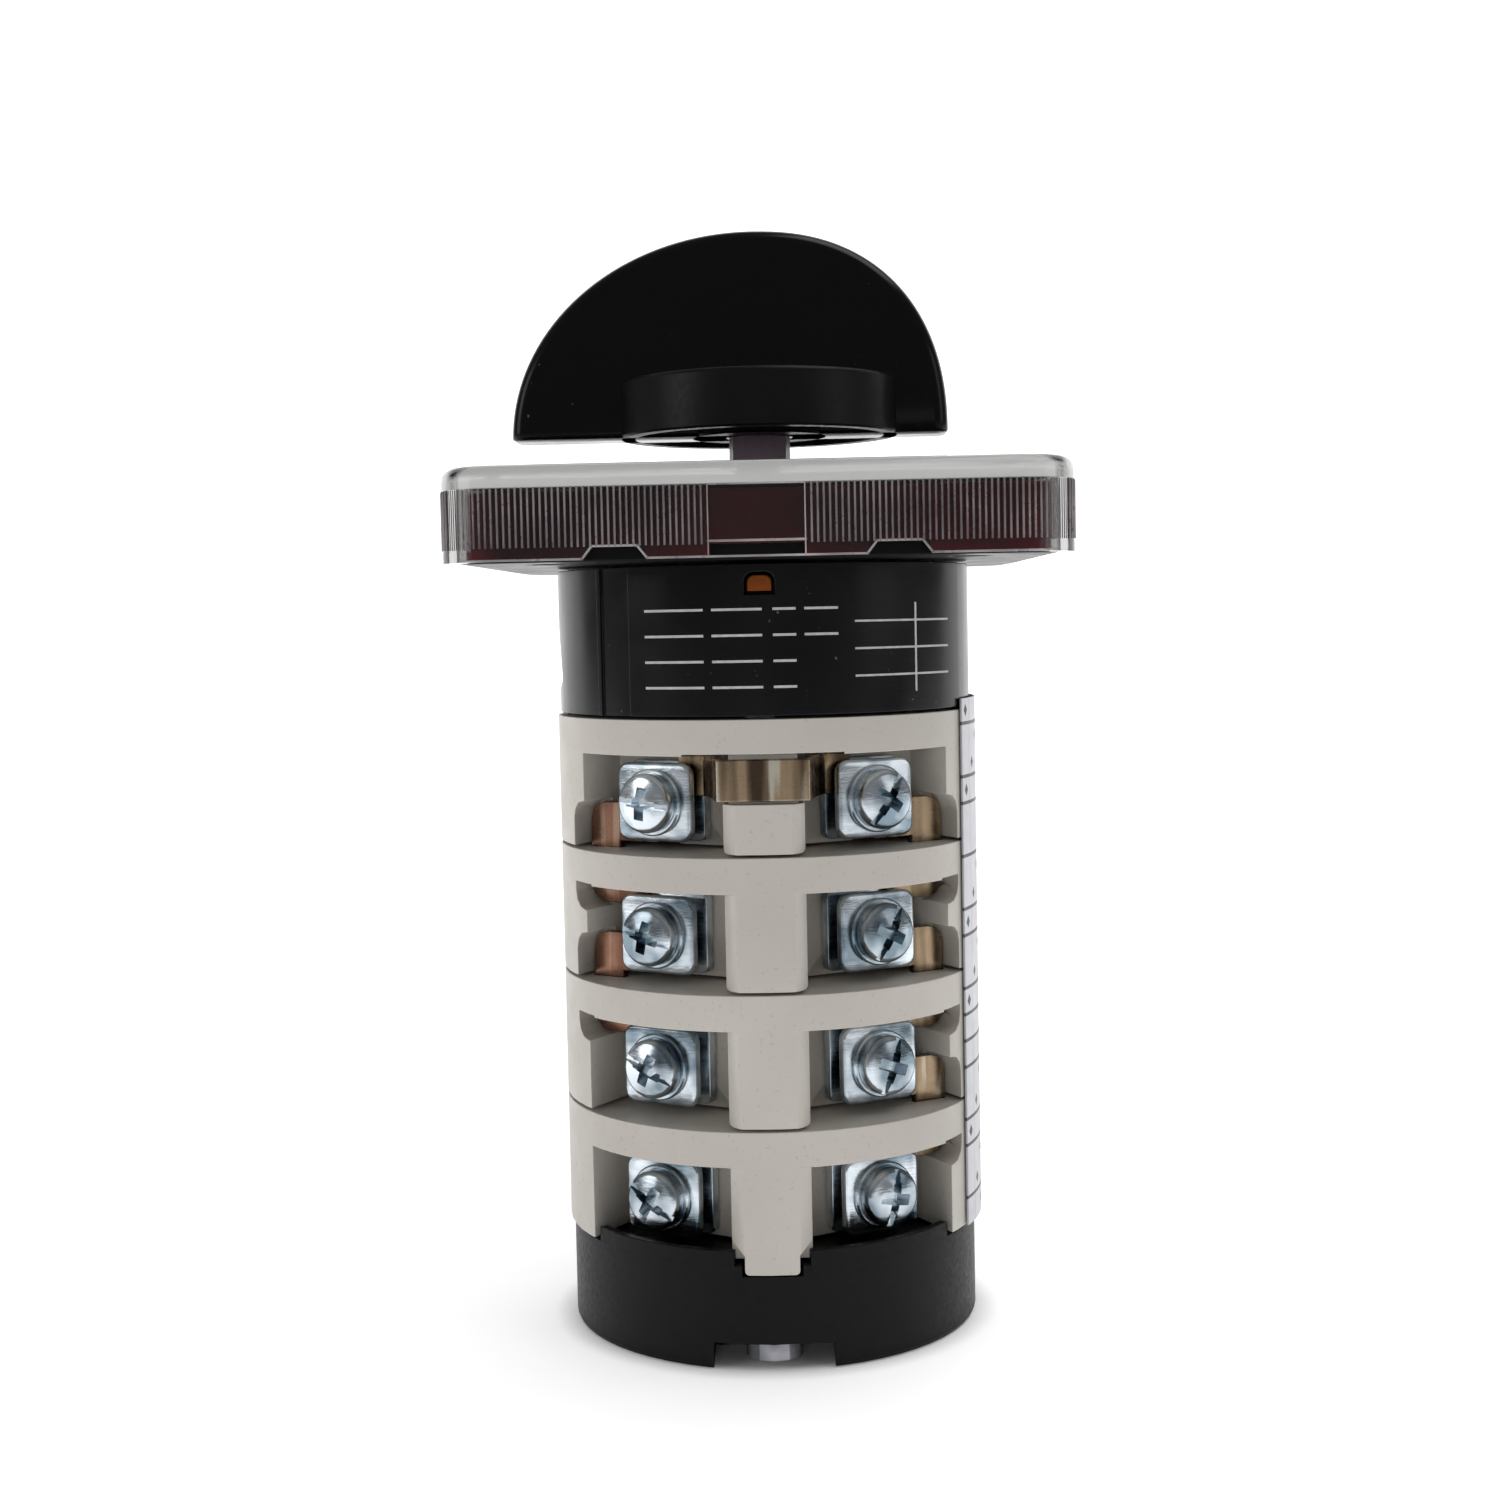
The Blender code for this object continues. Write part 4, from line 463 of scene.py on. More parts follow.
class Finish:
    """A material being wired, with its Principled shader and object coordinates."""

    def __init__(self, name, **constants):
        self.material = bpy.data.materials.new(name)
        self.material.use_nodes = True
        self.tree = self.material.node_tree
        self.shader = self.tree.nodes["Principled BSDF"]
        for label, value in constants.items():
            self.put(self.shader, label.replace("_", " "), value)
        self.place = self.add("ShaderNodeTexCoord").outputs["Object"]

    def put(self, node, label, value):
        if isinstance(value, bpy.types.NodeSocket):
            self.tree.links.new(value, node.inputs[label])
        elif node.inputs[label].type == "RGBA":
            node.inputs[label].default_value = (*value[:3], 1)
        else:
            node.inputs[label].default_value = value

    def add(self, kind, settings=None, **inputs):
        node = self.tree.nodes.new(kind)
        for label, value in (settings or {}).items():
            setattr(node, label, value)
        for label, value in inputs.items():
            numbered = label[0] == "i" and label[1:].isdigit()
            self.put(node, int(label[1:]) if numbered else label.replace("_", " "), value)
        return node

    def stretched(self, *scale):
        """Coordinates that draw a texture out along an axis."""
        mapping = self.add("ShaderNodeMapping", Vector=self.place)
        mapping.inputs["Scale"].default_value = scale
        return mapping.outputs["Vector"]

    def noise(self, scale, detail=2.0, place=None):
        """Noise from 0 to 1. The scale is about the number of features in a metre."""
        place = place or self.place
        node = self.add("ShaderNodeTexNoise", Vector=place, Scale=scale, Detail=detail)
        return node.outputs["Fac"]

    def math(self, operation, first, second=0.0, third=0.0):
        node = self.add("ShaderNodeMath", {"operation": operation}, i0=first, i1=second, i2=third)
        return node.outputs[0]

    def split(self, vector):
        """The X, Y and Z of a vector."""
        return self.add("ShaderNodeSeparateXYZ", Vector=vector).outputs

    def spread(self, value, low, high, to_low=0.0, to_high=1.0):
        """Maps a range of a value onto another, and clamps it."""
        ends = {"From Min": low, "From Max": high, "To Min": to_low, "To Max": to_high}
        node = self.add("ShaderNodeMapRange", {"clamp": True}, Value=value, **ends)
        return node.outputs["Result"]

    def mix(self, factor, first, second):
        node = self.add("ShaderNodeMix", {"data_type": "RGBA"}, i0=factor, i6=first, i7=second)
        return node.outputs[2]

    def bump(self, height, strength, depth):
        """Relief of a depth in millimetres."""
        node = self.add("ShaderNodeBump", Height=height, Strength=strength, Distance=depth * MM)
        self.put(self.shader, "Normal", node.outputs["Normal"])

    def colour(self, value):
        self.put(self.shader, "Base Color", value)

    def clouds(self, first, second, scale, detail, low=0.3, high=0.7):
        """Two colours in clouds, as the base colour."""
        factor = self.spread(self.noise(scale, detail), low, high)
        self.colour(self.mix(factor, first, second))

    def roughness(self, smooth, rough, scale, detail, low=0.3, high=0.7):
        """Roughness that varies between two values."""
        value = self.spread(self.noise(scale, detail), low, high, smooth, rough)
        self.put(self.shader, "Roughness", value)

    def relief(self, strength, depth, scale, detail):
        self.bump(self.noise(scale, detail), strength, depth)


def shade(colour, factor):
    return tuple(min(1.0, channel * factor) for channel in colour)


def plain_finish(name, clouds, roughness, relief, **constants):
    """A finish of coloured clouds, uneven roughness and fine relief."""
    finish = Finish(name, **constants)
    finish.clouds(*clouds)
    finish.roughness(*roughness)
    finish.relief(*relief)
    return finish.material


def matt_plastic(name, colour, roughness):
    """Matt black moulding with a fine spark-eroded grain."""
    clouds = (shade(colour, 0.85), shade(colour, 1.2), 70, 3.0)
    uneven = (roughness - 0.06, roughness + 0.08, 1800, 3.0)
    relief = (0.25, 0.03, 1800, 3.0)
    return plain_finish(name, clouds, uneven, relief, IOR=1.5, Specular_IOR_Level=0.14)


def painted_highlight_plastic(name, dark, pale):
    """Painted highlight where the cover's ribs and edges catch the light: pale and slightly
    see-through.
    """
    clouds = (dark, pale, 260, 2.0)
    uneven = (0.25, 0.4, 700, 2.0)
    relief = (0.1, 0.02, 900, 2.0)
    return plain_finish(name, clouds, uneven, relief, IOR=1.46, Transmission_Weight=0.35)


def tab_plastic(name, colour):
    """Coloured plastic of the release tab."""
    clouds = (shade(colour, 0.7), shade(colour, 1.15), 700, 3.0)
    uneven = (0.35, 0.5, 700, 3.0)
    relief = (0.2, 0.02, 2400, 2.0)
    return plain_finish(name, clouds, uneven, relief, IOR=1.48, Specular_IOR_Level=0.2)


def inner_plastic(name, colour):
    """Moulded plastic of the pieces inside the decks."""
    clouds = (shade(colour, 0.85), shade(colour, 1.1), 150, 3.0)
    return plain_finish(name, clouds, (0.4, 0.55, 900, 2.0), (0.15, 0.03, 1700, 2.0), IOR=1.49)


def spring_wire(name):
    """Bright drawn spring steel."""
    clouds = (srgb(150, 152, 156), srgb(205, 206, 208), 1200, 2.0)
    return plain_finish(name, clouds, (0.2, 0.38, 1200, 2.0), (0.1, 0.02, 1200, 2.0), Metallic=1.0)


def printed_ink(name, colour):
    """A thin layer of ink, slightly uneven."""
    clouds = (shade(colour, 0.8), colour, 1600, 2.0, 0.35, 0.65)
    return plain_finish(name, clouds, (0.45, 0.6, 1600, 2.0), (0.1, 0.01, 1600, 2.0), IOR=1.45)


def glossy_plastic(name, colour, roughness, grain, gloss):
    """Moulded black plastic: fine grain, faint smudges and a few specks of dust."""
    finish = Finish(name, IOR=1.5, Specular_IOR_Level=gloss)
    dust = finish.spread(finish.noise(1500, 1.0), 0.75, 0.77)
    patch = finish.spread(finish.noise(130, 2.0), 0.5, 0.62)
    finish.colour(finish.mix(finish.math("MULTIPLY", dust, patch), colour, srgb(78, 78, 82)))
    finish.roughness(roughness, roughness + 0.12, 90, 4.0, 0.35, 0.7)
    finish.relief(grain, 0.02, 2600, 2.0)
    return finish.material


def plate_plastic(name, colour, foot, opening_top, sizes):
    """Dark plate: wine red where its rim shows through the cover, black in the open, and black
    along its foot as painted shadow under the plate.
    """
    finish = Finish(name, IOR=1.5, Specular_IOR_Level=0.1)
    place = finish.split(finish.place)
    height = place["Z"]
    side = finish.math("ABSOLUTE", place["X"])
    # Below 0.25 to 0.4 mm over its foot the plate is black: painted shadow under the plate.
    rim = finish.spread(height, foot + 0.25 * MM, foot + 0.4 * MM)
    from_notch = finish.math("ABSOLUTE", finish.math("SUBTRACT", side, sizes.notch_middle))
    in_notch = finish.math("LESS_THAN", from_notch, sizes.notch_foot - 0.05 * MM)
    in_slot = finish.math("LESS_THAN", side, sizes.panel_half)
    opening = finish.math("MAXIMUM", in_notch, in_slot)
    low = finish.math("LESS_THAN", height, opening_top)
    rim = finish.math("SUBTRACT", rim, finish.math("MULTIPLY", opening, low))
    cloud = finish.spread(finish.noise(48, 2.0), 0.42, 0.6)
    wine = finish.mix(cloud, shade(colour, 0.35), colour)
    finish.colour(finish.mix(rim, srgb(14, 13, 15), wine))
    finish.roughness(0.3, 0.42, 300, 3.0)
    finish.relief(0.15, 0.03, 1800, 3.0)
    return finish.material


def deck_plastic(name, colour):
    """Warm grey thermoset: faint clouds, tiny specks and a soft satin skin."""
    finish = Finish(name, IOR=1.5)
    speck = finish.spread(finish.noise(2200, 1.0), 0.66, 0.74)
    cloud = finish.spread(finish.noise(60, 4.0), 0.3, 0.7)
    base = finish.mix(cloud, shade(colour, 0.94), shade(colour, 1.05))
    finish.colour(finish.mix(finish.math("MULTIPLY", speck, 0.35), base, shade(colour, 0.6)))
    finish.roughness(0.38, 0.52, 400, 3.0)
    finish.relief(0.12, 0.03, 1500, 3.0)
    return finish.material


def plated_metal(name, colour, roughness, waviness, tint):
    """Plated sheet or screw metal: soft waves, fine scratches and a passivation tint."""
    finish = Finish(name, Metallic=1.0)
    scratch = finish.noise(900, 3.0, finish.stretched(1, 1, 6))
    finish.clouds(colour, tint, 240, 2.0, 0.4, 0.62)
    uneven = finish.spread(scratch, 0.3, 0.7, roughness, roughness + 0.14)
    finish.put(finish.shader, "Roughness", uneven)
    scratched = finish.math("MULTIPLY", scratch, 0.15)
    finish.bump(finish.math("ADD", finish.noise(330, 1.0), scratched), waviness, 0.12)
    return finish.material


def nickel_with_painted_reflections(name, dark, tan, bright):
    """Bright strip with upright bands of brown and cream painted into its colour: painted
    reflections of its surroundings.
    """
    finish = Finish(name, Metallic=1.0)
    upright = finish.stretched(1, 1, 0.07)
    painted_reflection_band = finish.spread(finish.noise(420, 2.0, upright), 0.4, 0.56)
    # Thin bright streaks: painted highlights.
    thin = finish.spread(finish.noise(760, 1.0, upright), 0.62, 0.7)
    finish.colour(finish.mix(thin, finish.mix(painted_reflection_band, dark, tan), bright))
    finish.roughness(0.2, 0.34, 500, 3.0)
    finish.relief(0.12, 0.1, 260, 2.0)
    return finish.material


def clear_plastic(name, painted_scatter_from, painted_scatter_reach):
    """Smoky clear plastic with faint flow marks; round the upper rim a pale colour and less
    transmission paint the light that the thick upper edge scatters.
    """
    finish = Finish(name, IOR=1.46, Specular_IOR_Level=0.28)
    cloud = finish.spread(finish.noise(45, 3.0), 0.3, 0.7)
    smoke = finish.mix(cloud, srgb(206, 206, 204), srgb(192, 192, 191))
    place = finish.split(finish.place)
    across, along = (finish.math("ABSOLUTE", place[axis]) for axis in "XY")
    reach = finish.math("MAXIMUM", across, along)
    # Pale band round the upper rim: painted light, for the light scattered in the thick top of the
    # cover.
    outer = finish.spread(reach, painted_scatter_reach, painted_scatter_reach + 0.6 * MM)
    upper = finish.spread(place["Z"], painted_scatter_from, painted_scatter_from + 0.1 * MM)
    painted_scatter = finish.math("MULTIPLY", outer, upper)
    finish.colour(finish.mix(painted_scatter, smoke, srgb(224, 224, 222)))
    finish.put(finish.shader, "Transmission Weight", finish.spread(painted_scatter, 0, 1, 1.0, 0.3))
    finish.roughness(0.02, 0.07, 300, 2.0, 0.35, 0.7)
    finish.relief(0.03, 0.1, 120, 2.0)
    return finish.material


def brushed_sheet(name):
    """Satin metal of the dial sheet, brushed along X."""
    finish = Finish(name, Metallic=0.3)
    grain = finish.noise(3200, 3.0, finish.stretched(0.04, 1, 1))
    bright = finish.spread(grain, 0.3, 0.7)
    finish.colour(finish.mix(bright, srgb(200, 201, 203), srgb(226, 226, 227)))
    finish.put(finish.shader, "Roughness", finish.spread(grain, 0.3, 0.7, 0.28, 0.45))
    finish.bump(grain, 0.1, 0.02)
    return finish.material


def label_paper(name, paper, ink):
    """White film with a contact chart: ruled rows, faint columns and small diamonds."""
    finish = Finish(name, IOR=1.46)
    chart = finish.split(finish.add("ShaderNodeUVMap").outputs["UV"])
    rows = finish.math("MULTIPLY", chart["Y"], CHART_ROWS)
    columns = finish.math("MULTIPLY", chart["X"], CHART_COLUMNS)
    row = finish.math("FRACT", rows)
    column = finish.math("FRACT", columns)
    order = finish.math("MULTIPLY", finish.math("FLOOR", rows), 0.618)
    kept = finish.math("GREATER_THAN", finish.math("FRACT", order), 0.3)
    ruled = finish.math("MULTIPLY", finish.math("LESS_THAN", row, 0.13), kept)
    side = finish.math("MULTIPLY", finish.math("LESS_THAN", column, 0.06), 0.3)
    cell = finish.math("MULTIPLY_ADD", finish.math("FLOOR", columns), 0.377, order)
    chosen = finish.math("GREATER_THAN", finish.math("FRACT", cell), 0.74)
    from_x = finish.math("ABSOLUTE", finish.math("SUBTRACT", column, 0.5))
    from_y = finish.math("ABSOLUTE", finish.math("SUBTRACT", row, 0.55))
    diamond = finish.math("LESS_THAN", finish.math("ADD", from_x, from_y), 0.24)
    dots = finish.math("MULTIPLY", diamond, chosen)
    marks = finish.math("MAXIMUM", finish.math("MAXIMUM", ruled, side), dots)
    fibres = finish.spread(finish.noise(800, 3.0), 0.3, 0.7)
    fibre = finish.mix(fibres, shade(paper, 0.93), paper)
    finish.colour(finish.mix(finish.math("MULTIPLY", marks, 0.95), fibre, ink))
    finish.roughness(0.4, 0.55, 500, 2.0)
    finish.relief(0.08, 0.02, 900, 2.0)
    return finish.material


# Operators


class CAMSWITCH_OT_finishes(bpy.types.Operator):
    """Gives the CAD nodes that stay their finishes"""

    bl_idname = "camswitch.finishes"
    bl_label = "Inner pieces"

    def execute(self, context):
        cams = inner_plastic("cam_plastic", srgb(222, 214, 196))
        zinc = plated_metal("bolt_zinc", srgb(172, 172, 178), 0.3, 0.3, srgb(108, 110, 118))
        finishes = {
            "cam_": cams,
            "star_wheel": cams,
            "carrier": inner_plastic("carrier_plastic", srgb(150, 46, 34)),
            "shaft": matt_plastic("shaft_plastic", srgb(112, 98, 108), 0.3),
            "tie_bolt": zinc,
        }
        for name, obj in frame["nodes"].items():
            for start, finish in finishes.items():
                if name.startswith(start) and "spring" not in name:
                    obj.data.materials.clear()
                    obj.data.materials.append(finish)
        return {"FINISHED"}


class CAMSWITCH_OT_springs(bpy.types.Operator):
    """Models the carriers' coils and the two leaves that press on the star wheel"""

    bl_idname = "camswitch.springs"
    bl_label = "Springs"

    def execute(self, context):
        sizes = context.scene.spring_sizes
        wire = spring_wire("spring_wire")
        for deck in DECKS:
            for side_name, side in SIDES:
                place = f"{deck}_{side_name}"
                self.coil(sizes, f"carrier_spring_{place}", f"carrier_{place}", side, wire)
        for side_name, _ in SIDES:
            self.leaf(sizes, f"detent_spring_{side_name}", wire)
        return {"FINISHED"}

    def leaf(self, sizes, node, wire):
        """A copy of a detent leaf with a lower upper edge, which the turning stop lug clears."""
        bm = copied(node, 0.002 * MM)
        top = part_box(node)[1].z - 0.01 * MM
        upper = [vert for vert in bm.verts if vert.co.z > top]
        bmesh.ops.translate(bm, verts=upper, vec=(0, 0, -sizes.leaf_drop))
        round_edges(bm, 0.06 * MM, 2, lambda edge: sharp(edge, 60))
        piece(f"{node}_shape", bm, FIXED_BODY, wire, "spring_steel", node)

    def coil(self, sizes, node, carrier, side, wire):
        """A coil of wire along the length of a carrier spring."""
        low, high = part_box(node)
        level = (low.z + high.z) / 2
        near, far = (high.x, low.x) if side < 0 else (low.x, high.x)
        start = near + side * sizes.wire_radius
        steps = 24 * sizes.turns
        bm = bmesh.new()
        bmesh.ops.create_circle(bm, cap_ends=True, segments=10, radius=sizes.wire_radius)
        bmesh.ops.translate(bm, verts=bm.verts, vec=(start, sizes.coil_radius, level))
        bmesh.ops.spin(
            bm,
            geom=bm.faces[:],
            cent=(start, 0, level),
            axis=(side, 0, 0),
            angle=2 * math.pi * sizes.turns,
            dvec=((far - side * sizes.wire_radius - start) / steps, 0, 0),
            steps=steps,
            use_merge=False,
        )
        bmesh.ops.recalc_face_normals(bm, faces=bm.faces)
        obj = linked(f"{node}_shape", smooth_mesh(f"{node}_shape", bm, 60))
        obj.data.materials.append(wire)
        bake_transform(obj)
        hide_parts(node)


class CAMSWITCH_OT_decks(bpy.types.Operator):
    """Models the four contact decks"""

    bl_idname = "camswitch.decks"
    bl_label = "Contact decks"

    def execute(self, context):
        material = deck_plastic("deck_plastic", context.scene.switch_colours.block)
        for deck in DECKS:
            node = f"contact_block_{deck}"
            softened(node, FIXED_BODY, material, "grey_plastic", 0.1 * MM, foot_corner=0.5 * MM)
        return {"FINISHED"}


class CAMSWITCH_OT_housing(bpy.types.Operator):
    """Models the housing, its ruled print and the release tab"""

    bl_idname = "camswitch.housing"
    bl_label = "Housing and tab"

    def execute(self, context):
        colours = context.scene.switch_colours
        gloss = glossy_plastic("housing_plastic", colours.housing, 0.16, 0.12, 0.22)
        softened("mechanism_housing", FIXED_BODY, gloss, "black_plastic", 0.1 * MM)
        tab = tab_plastic("tab_plastic", colours.tab)
        softened("release_tab", "release_tab", tab, "orange_plastic", 0.12 * MM)
        self.print_lines(colours.print)
        return {"FINISHED"}

    def print_lines(self, colour):
        """Ruled lines in place of the ratings: four broken rows and a small table."""
        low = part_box("mechanism_housing")[0]
        radius = 0.03 * MM - low.y
        words = ((-11.1, -5.4), (-4.6, 0.2), (1.2, 3.4), (4.2, 7.4))
        lines = []
        for row in range(4):
            for start, end in words[: 4 - row // 2]:
                lines.append((start, end, 10.1 - 2.45 * row, 0.24))
        for level in (3.6, 6.2, 8.8):
            lines.append((9.0, 18.4, level, 0.2))
        lines.append((14.9, 15.08, 6.2, 8.6))
        rulings = bmesh.new()
        for start, end, level, height in lines:
            level = low.z + level * MM
            gathered(rulings, curved_strip(radius, start * MM, end * MM, level, height * MM))
        ink = printed_ink("housing_print", colour)
        piece("housing_rulings", rulings, FIXED_BODY, ink, "black_plastic")


def curved_strip(radius, start, end, level, height):
    """A thin strip that follows the front of a drum, between two values of X."""
    first, last = math.asin(start / radius), math.asin(end / radius)
    steps = max(1, round((last - first) / math.radians(3)))
    low, high = level - height / 2, level + height / 2
    inner = radius - 0.03 * MM
    return arc_strip(inner, radius, low, high, first - math.pi / 2, last - first, steps)


class CAMSWITCH_OT_cap(bpy.types.Operator):
    """Models the rear cap"""

    bl_idname = "camswitch.cap"
    bl_label = "Rear cap"

    def execute(self, context):
        material = matt_plastic("cap_plastic", context.scene.switch_colours.cap, 0.42)
        softened("rear_cap", FIXED_BODY, material, "matt_black_plastic", 0.1 * MM, room=0.8 * MM)
        return {"FINISHED"}


class CAMSWITCH_OT_handle(bpy.types.Operator):
    """Models the handle: a round collar with a tall curved grip"""

    bl_idname = "camswitch.handle"
    bl_label = "Handle"

    def execute(self, context):
        sizes = context.scene.handle_sizes
        colour = context.scene.switch_colours.handle
        low, high = (corner.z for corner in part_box("handle"))
        gloss = glossy_plastic("handle_plastic", colour, 0.14, 0.06, 0.2)
        grained = matt_plastic("collar_plastic", srgb(17, 17, 19), 0.34)
        grip = self.grip(sizes, low, high)
        piece("handle_grip", grip, ROTOR_BODY, gloss, "black_plastic", "handle", smooth=50)
        collar = self.collar(sizes, low)
        piece("handle_collar", collar, ROTOR_BODY, grained, "black_plastic", smooth=40)
        return {"FINISHED"}

    def grip(self, sizes, low, high):
        """A half disc, stretched to the pointer on the left and squarer on the right."""
        bm = bmesh.new()
        bmesh.ops.create_circle(bm, cap_ends=True, segments=144, radius=1)
        for vert in bm.verts:
            angle = math.atan2(vert.co.y, vert.co.x)
            right = vert.co.x > 0
            power = 2 / 2.3 if right else 1.0
            reach = sizes.right_reach + sizes.peak if right else sizes.left_reach - sizes.peak
            x, z = (
                math.copysign(abs(value) ** power, value)
                for value in (math.cos(angle), math.sin(angle))
            )
            vert.co = (x * reach - sizes.peak, -sizes.blade_width / 2, low + z * (high - low))
        bmesh.ops.bisect_plane(
            bm,
            geom=bm.verts[:] + bm.edges[:] + bm.faces[:],
            plane_co=(0, 0, low),
            plane_no=(0, 0, 1),
            clear_inner=True,
        )
        thickened(bm, (0, sizes.blade_width, 0))

        def on_rim(edge):
            first, second = (vert.co for vert in edge.verts)
            above = min(first.z, second.z) > low - TINY and max(first.z, second.z) > low + TINY
            return above and abs(first.y - second.y) < TINY and sharp(edge)

        round_edges(bm, sizes.rim, 5, on_rim)
        return round_edges(bm, 0.25 * MM, 2, sharp, clamp=False)

    def collar(self, sizes, low):
        """The collar with its hollow underside and the hub in the middle."""
        radius, hub, bore = sizes.collar_radius, sizes.hub_radius, sizes.bore_radius
        inner = radius - sizes.collar_wall
        top = low + sizes.collar_height
        deep = low + sizes.collar_depth
        deeper = deep + 0.3 * MM
        chamfer = 0.2 * MM
        above = low + chamfer
        profile = [(0, top), *corner_arc(radius, top, 0.5 * MM)]
        profile += [(radius, above), (radius - chamfer, low), (inner + chamfer, low)]
        profile += [(inner, above), (inner, deep), (hub, deep), (hub, above)]
        profile += [(hub - chamfer, low), (bore, low), (bore, deeper), (0, deeper)]
        return turned_profile(profile, 128)


class CAMSWITCH_OT_cover(bpy.types.Operator):
    """Models the clear ribbed cover, the plate and the dial under it"""

    bl_idname = "camswitch.cover"
    bl_label = "Cover, plate and dial"

    def execute(self, context):
        colours = context.scene.switch_colours
        sizes = context.scene.cover_sizes
        low, high = (corner.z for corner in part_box("front_cover"))
        clear = clear_plastic("cover_plastic", sizes.rib_high, sizes.side / 2 - 1.6 * MM)
        shell = self.shell(sizes, low, high)
        names = "clear_plastic", "front_cover"
        piece("front_cover_shell", shell, FIXED_BODY, clear, *names, smooth=30)
        # Pale colour on the ribs and on thin rims along the edges: painted highlights.
        painted_edge_highlight = painted_highlight_plastic("cover_painted_highlight", srgb(150, 144, 146), srgb(206, 200, 200))
        painted_rib_highlight = painted_highlight_plastic("rib_painted_highlight", srgb(112, 103, 106), srgb(164, 154, 156))
        piece("front_cover_ribs", self.ribs(sizes), FIXED_BODY, painted_rib_highlight, "clear_plastic")
        piece("front_cover_rims", self.rims(sizes, low), FIXED_BODY, painted_edge_highlight, "clear_plastic")
        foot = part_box("front_plate")[0].z
        opening_top = low + sizes.notch_tall + 0.1 * MM
        plate = plate_plastic("plate_plastic", colours.plate, foot, opening_top, sizes)
        softened("front_plate", FIXED_BODY, plate, "matt_black_plastic", 0.2 * MM)
        softened("dial_plate", FIXED_BODY, brushed_sheet("dial_sheet"), "silver_foil", 0.05 * MM)
        self.dial_print(printed_ink("dial_ink", colours.ink))
        return {"FINISHED"}

    def shell(self, sizes, low, high):
        """A hollow rounded square with a hole, pry notches and plain middle panels."""
        bm = raised(rounded_square(sizes.side, sizes.corner, 10), low, high)

        def on_top(edge):
            return all(abs(vert.co.z - high) < TINY for vert in edge.verts)

        round_edges(bm, 1.3 * MM, 4, on_top)
        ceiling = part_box("dial_plate")[1].z + 0.3 * MM
        inside = rounded_square(sizes.side - 2 * sizes.wall, sizes.corner - sizes.wall, 8)
        cutters = [raised(inside, low - MM, ceiling)]
        cutters.append(cylinder(sizes.hole_radius, low - MM, high + MM, 40))
        for angle in (0, math.pi):
            cutters += [moved(notch, about_z(angle)) for notch in self.notches(sizes, low)]
        return carved(bm, *cutters)

    def along_wall(self, sizes, distance):
        """Takes a part from the middle of the front wall along it, and round its corner."""
        flat = sizes.side / 2 - sizes.corner
        side = math.copysign(1, distance)
        past = max(0.0, abs(distance) - flat)
        corner = Matrix.Translation((side * flat, -flat, 0))
        start = Matrix.Translation((side * min(abs(distance), flat), 0, 0))
        return corner @ about_z(side * past / sizes.corner) @ corner.inverted() @ start

    def ribs(self, sizes):
        """The fine upright ribs on all four sides, proud of the wall."""
        face = -sizes.side / 2
        crest = face - sizes.rib_depth
        foot = face + 0.02 * MM
        wide = sizes.rib_pitch * 0.19
        outline = [(-wide, foot), (-wide / 2, crest), (wide / 2, crest), (wide, foot)]
        count = int((sizes.rib_end - sizes.rib_start) / sizes.rib_pitch)
        whole = bmesh.new()
        for quarter in range(4):
            turn = about_z(quarter * math.pi / 2)
            for side in (-1, 1):
                for index in range(count):
                    middle = side * (sizes.rib_start + (index + 0.5) * sizes.rib_pitch)
                    rib = raised(outline, sizes.rib_low, sizes.rib_high)
                    gathered(whole, moved(rib, turn @ self.along_wall(sizes, middle)))
        return whole

    def rims(self, sizes, low):
        """Pale rims along the lower edge, the pry notches and the plain middle panels: painted
        highlights where these edges catch the light.
        """
        level = low + 0.1 * MM
        head = low + sizes.notch_tall + 0.05 * MM
        wide = sizes.notch_foot + 0.1 * MM
        narrow = sizes.notch_head + 0.07 * MM
        flat = sizes.side / 2 - sizes.corner
        notch = ((-wide, level), (-narrow, head), (narrow, head), (wide, level))
        path = [(sizes.notch_middle + distance, height) for distance, height in notch]
        path += [(flat + (sizes.rib_end - flat) * step / 4, level) for step in range(5)]
        path = [(-distance, height) for distance, height in reversed(path)] + path
        lines = [(*pair, 0.2 * MM) for pair in zip(path, path[1:])]
        panel = sizes.panel_half + 0.1 * MM
        slot = low + sizes.notch_tall + 0.3 * MM
        lines.append(((-panel, slot), (panel, slot), 0.22 * MM))
        for side in (-panel, panel):
            lines.append(((side, level), (side, sizes.rib_high), 0.12 * MM))
        lines.append(((-panel, sizes.rib_high), (panel, sizes.rib_high), 0.12 * MM))
        whole = bmesh.new()
        for turn in (about_z(0), about_z(math.pi)):
            for *ends, width in lines:
                start, end = (
                    self.along_wall(sizes, distance) @ Vector((0, -sizes.side / 2, height))
                    for distance, height in ends
                )
                gathered(whole, moved(rod(start, end, width), turn))
        return whole

    def notches(self, sizes, low):
        """Pry notches in the lower edge, and the sunk panel and slot between the ribs."""
        face = -sizes.side / 2
        depth = sizes.wall + 0.5 * MM
        below, top = low - MM, low + sizes.notch_tall
        stand = Matrix.Translation((0, face + depth, 0)) @ Matrix.Rotation(math.pi / 2, 4, "X")
        flank = ((sizes.notch_foot, below), (sizes.notch_foot, low), (sizes.notch_head, top))
        parts = []
        for middle in (-sizes.notch_middle, sizes.notch_middle):
            outline = [(middle + x, z) for x, z in flank]
            outline += [(middle - x, z) for x, z in reversed(flank)]
            parts.append(moved(raised(outline, 0, depth + MM), stand))
        width = (-sizes.panel_half, sizes.panel_half)
        parts.append(block(width, (face - MM, face + 0.3 * MM), (below, sizes.panel_high)))
        parts.append(block(width, (face - MM, face + depth), (below, top)))
        return parts

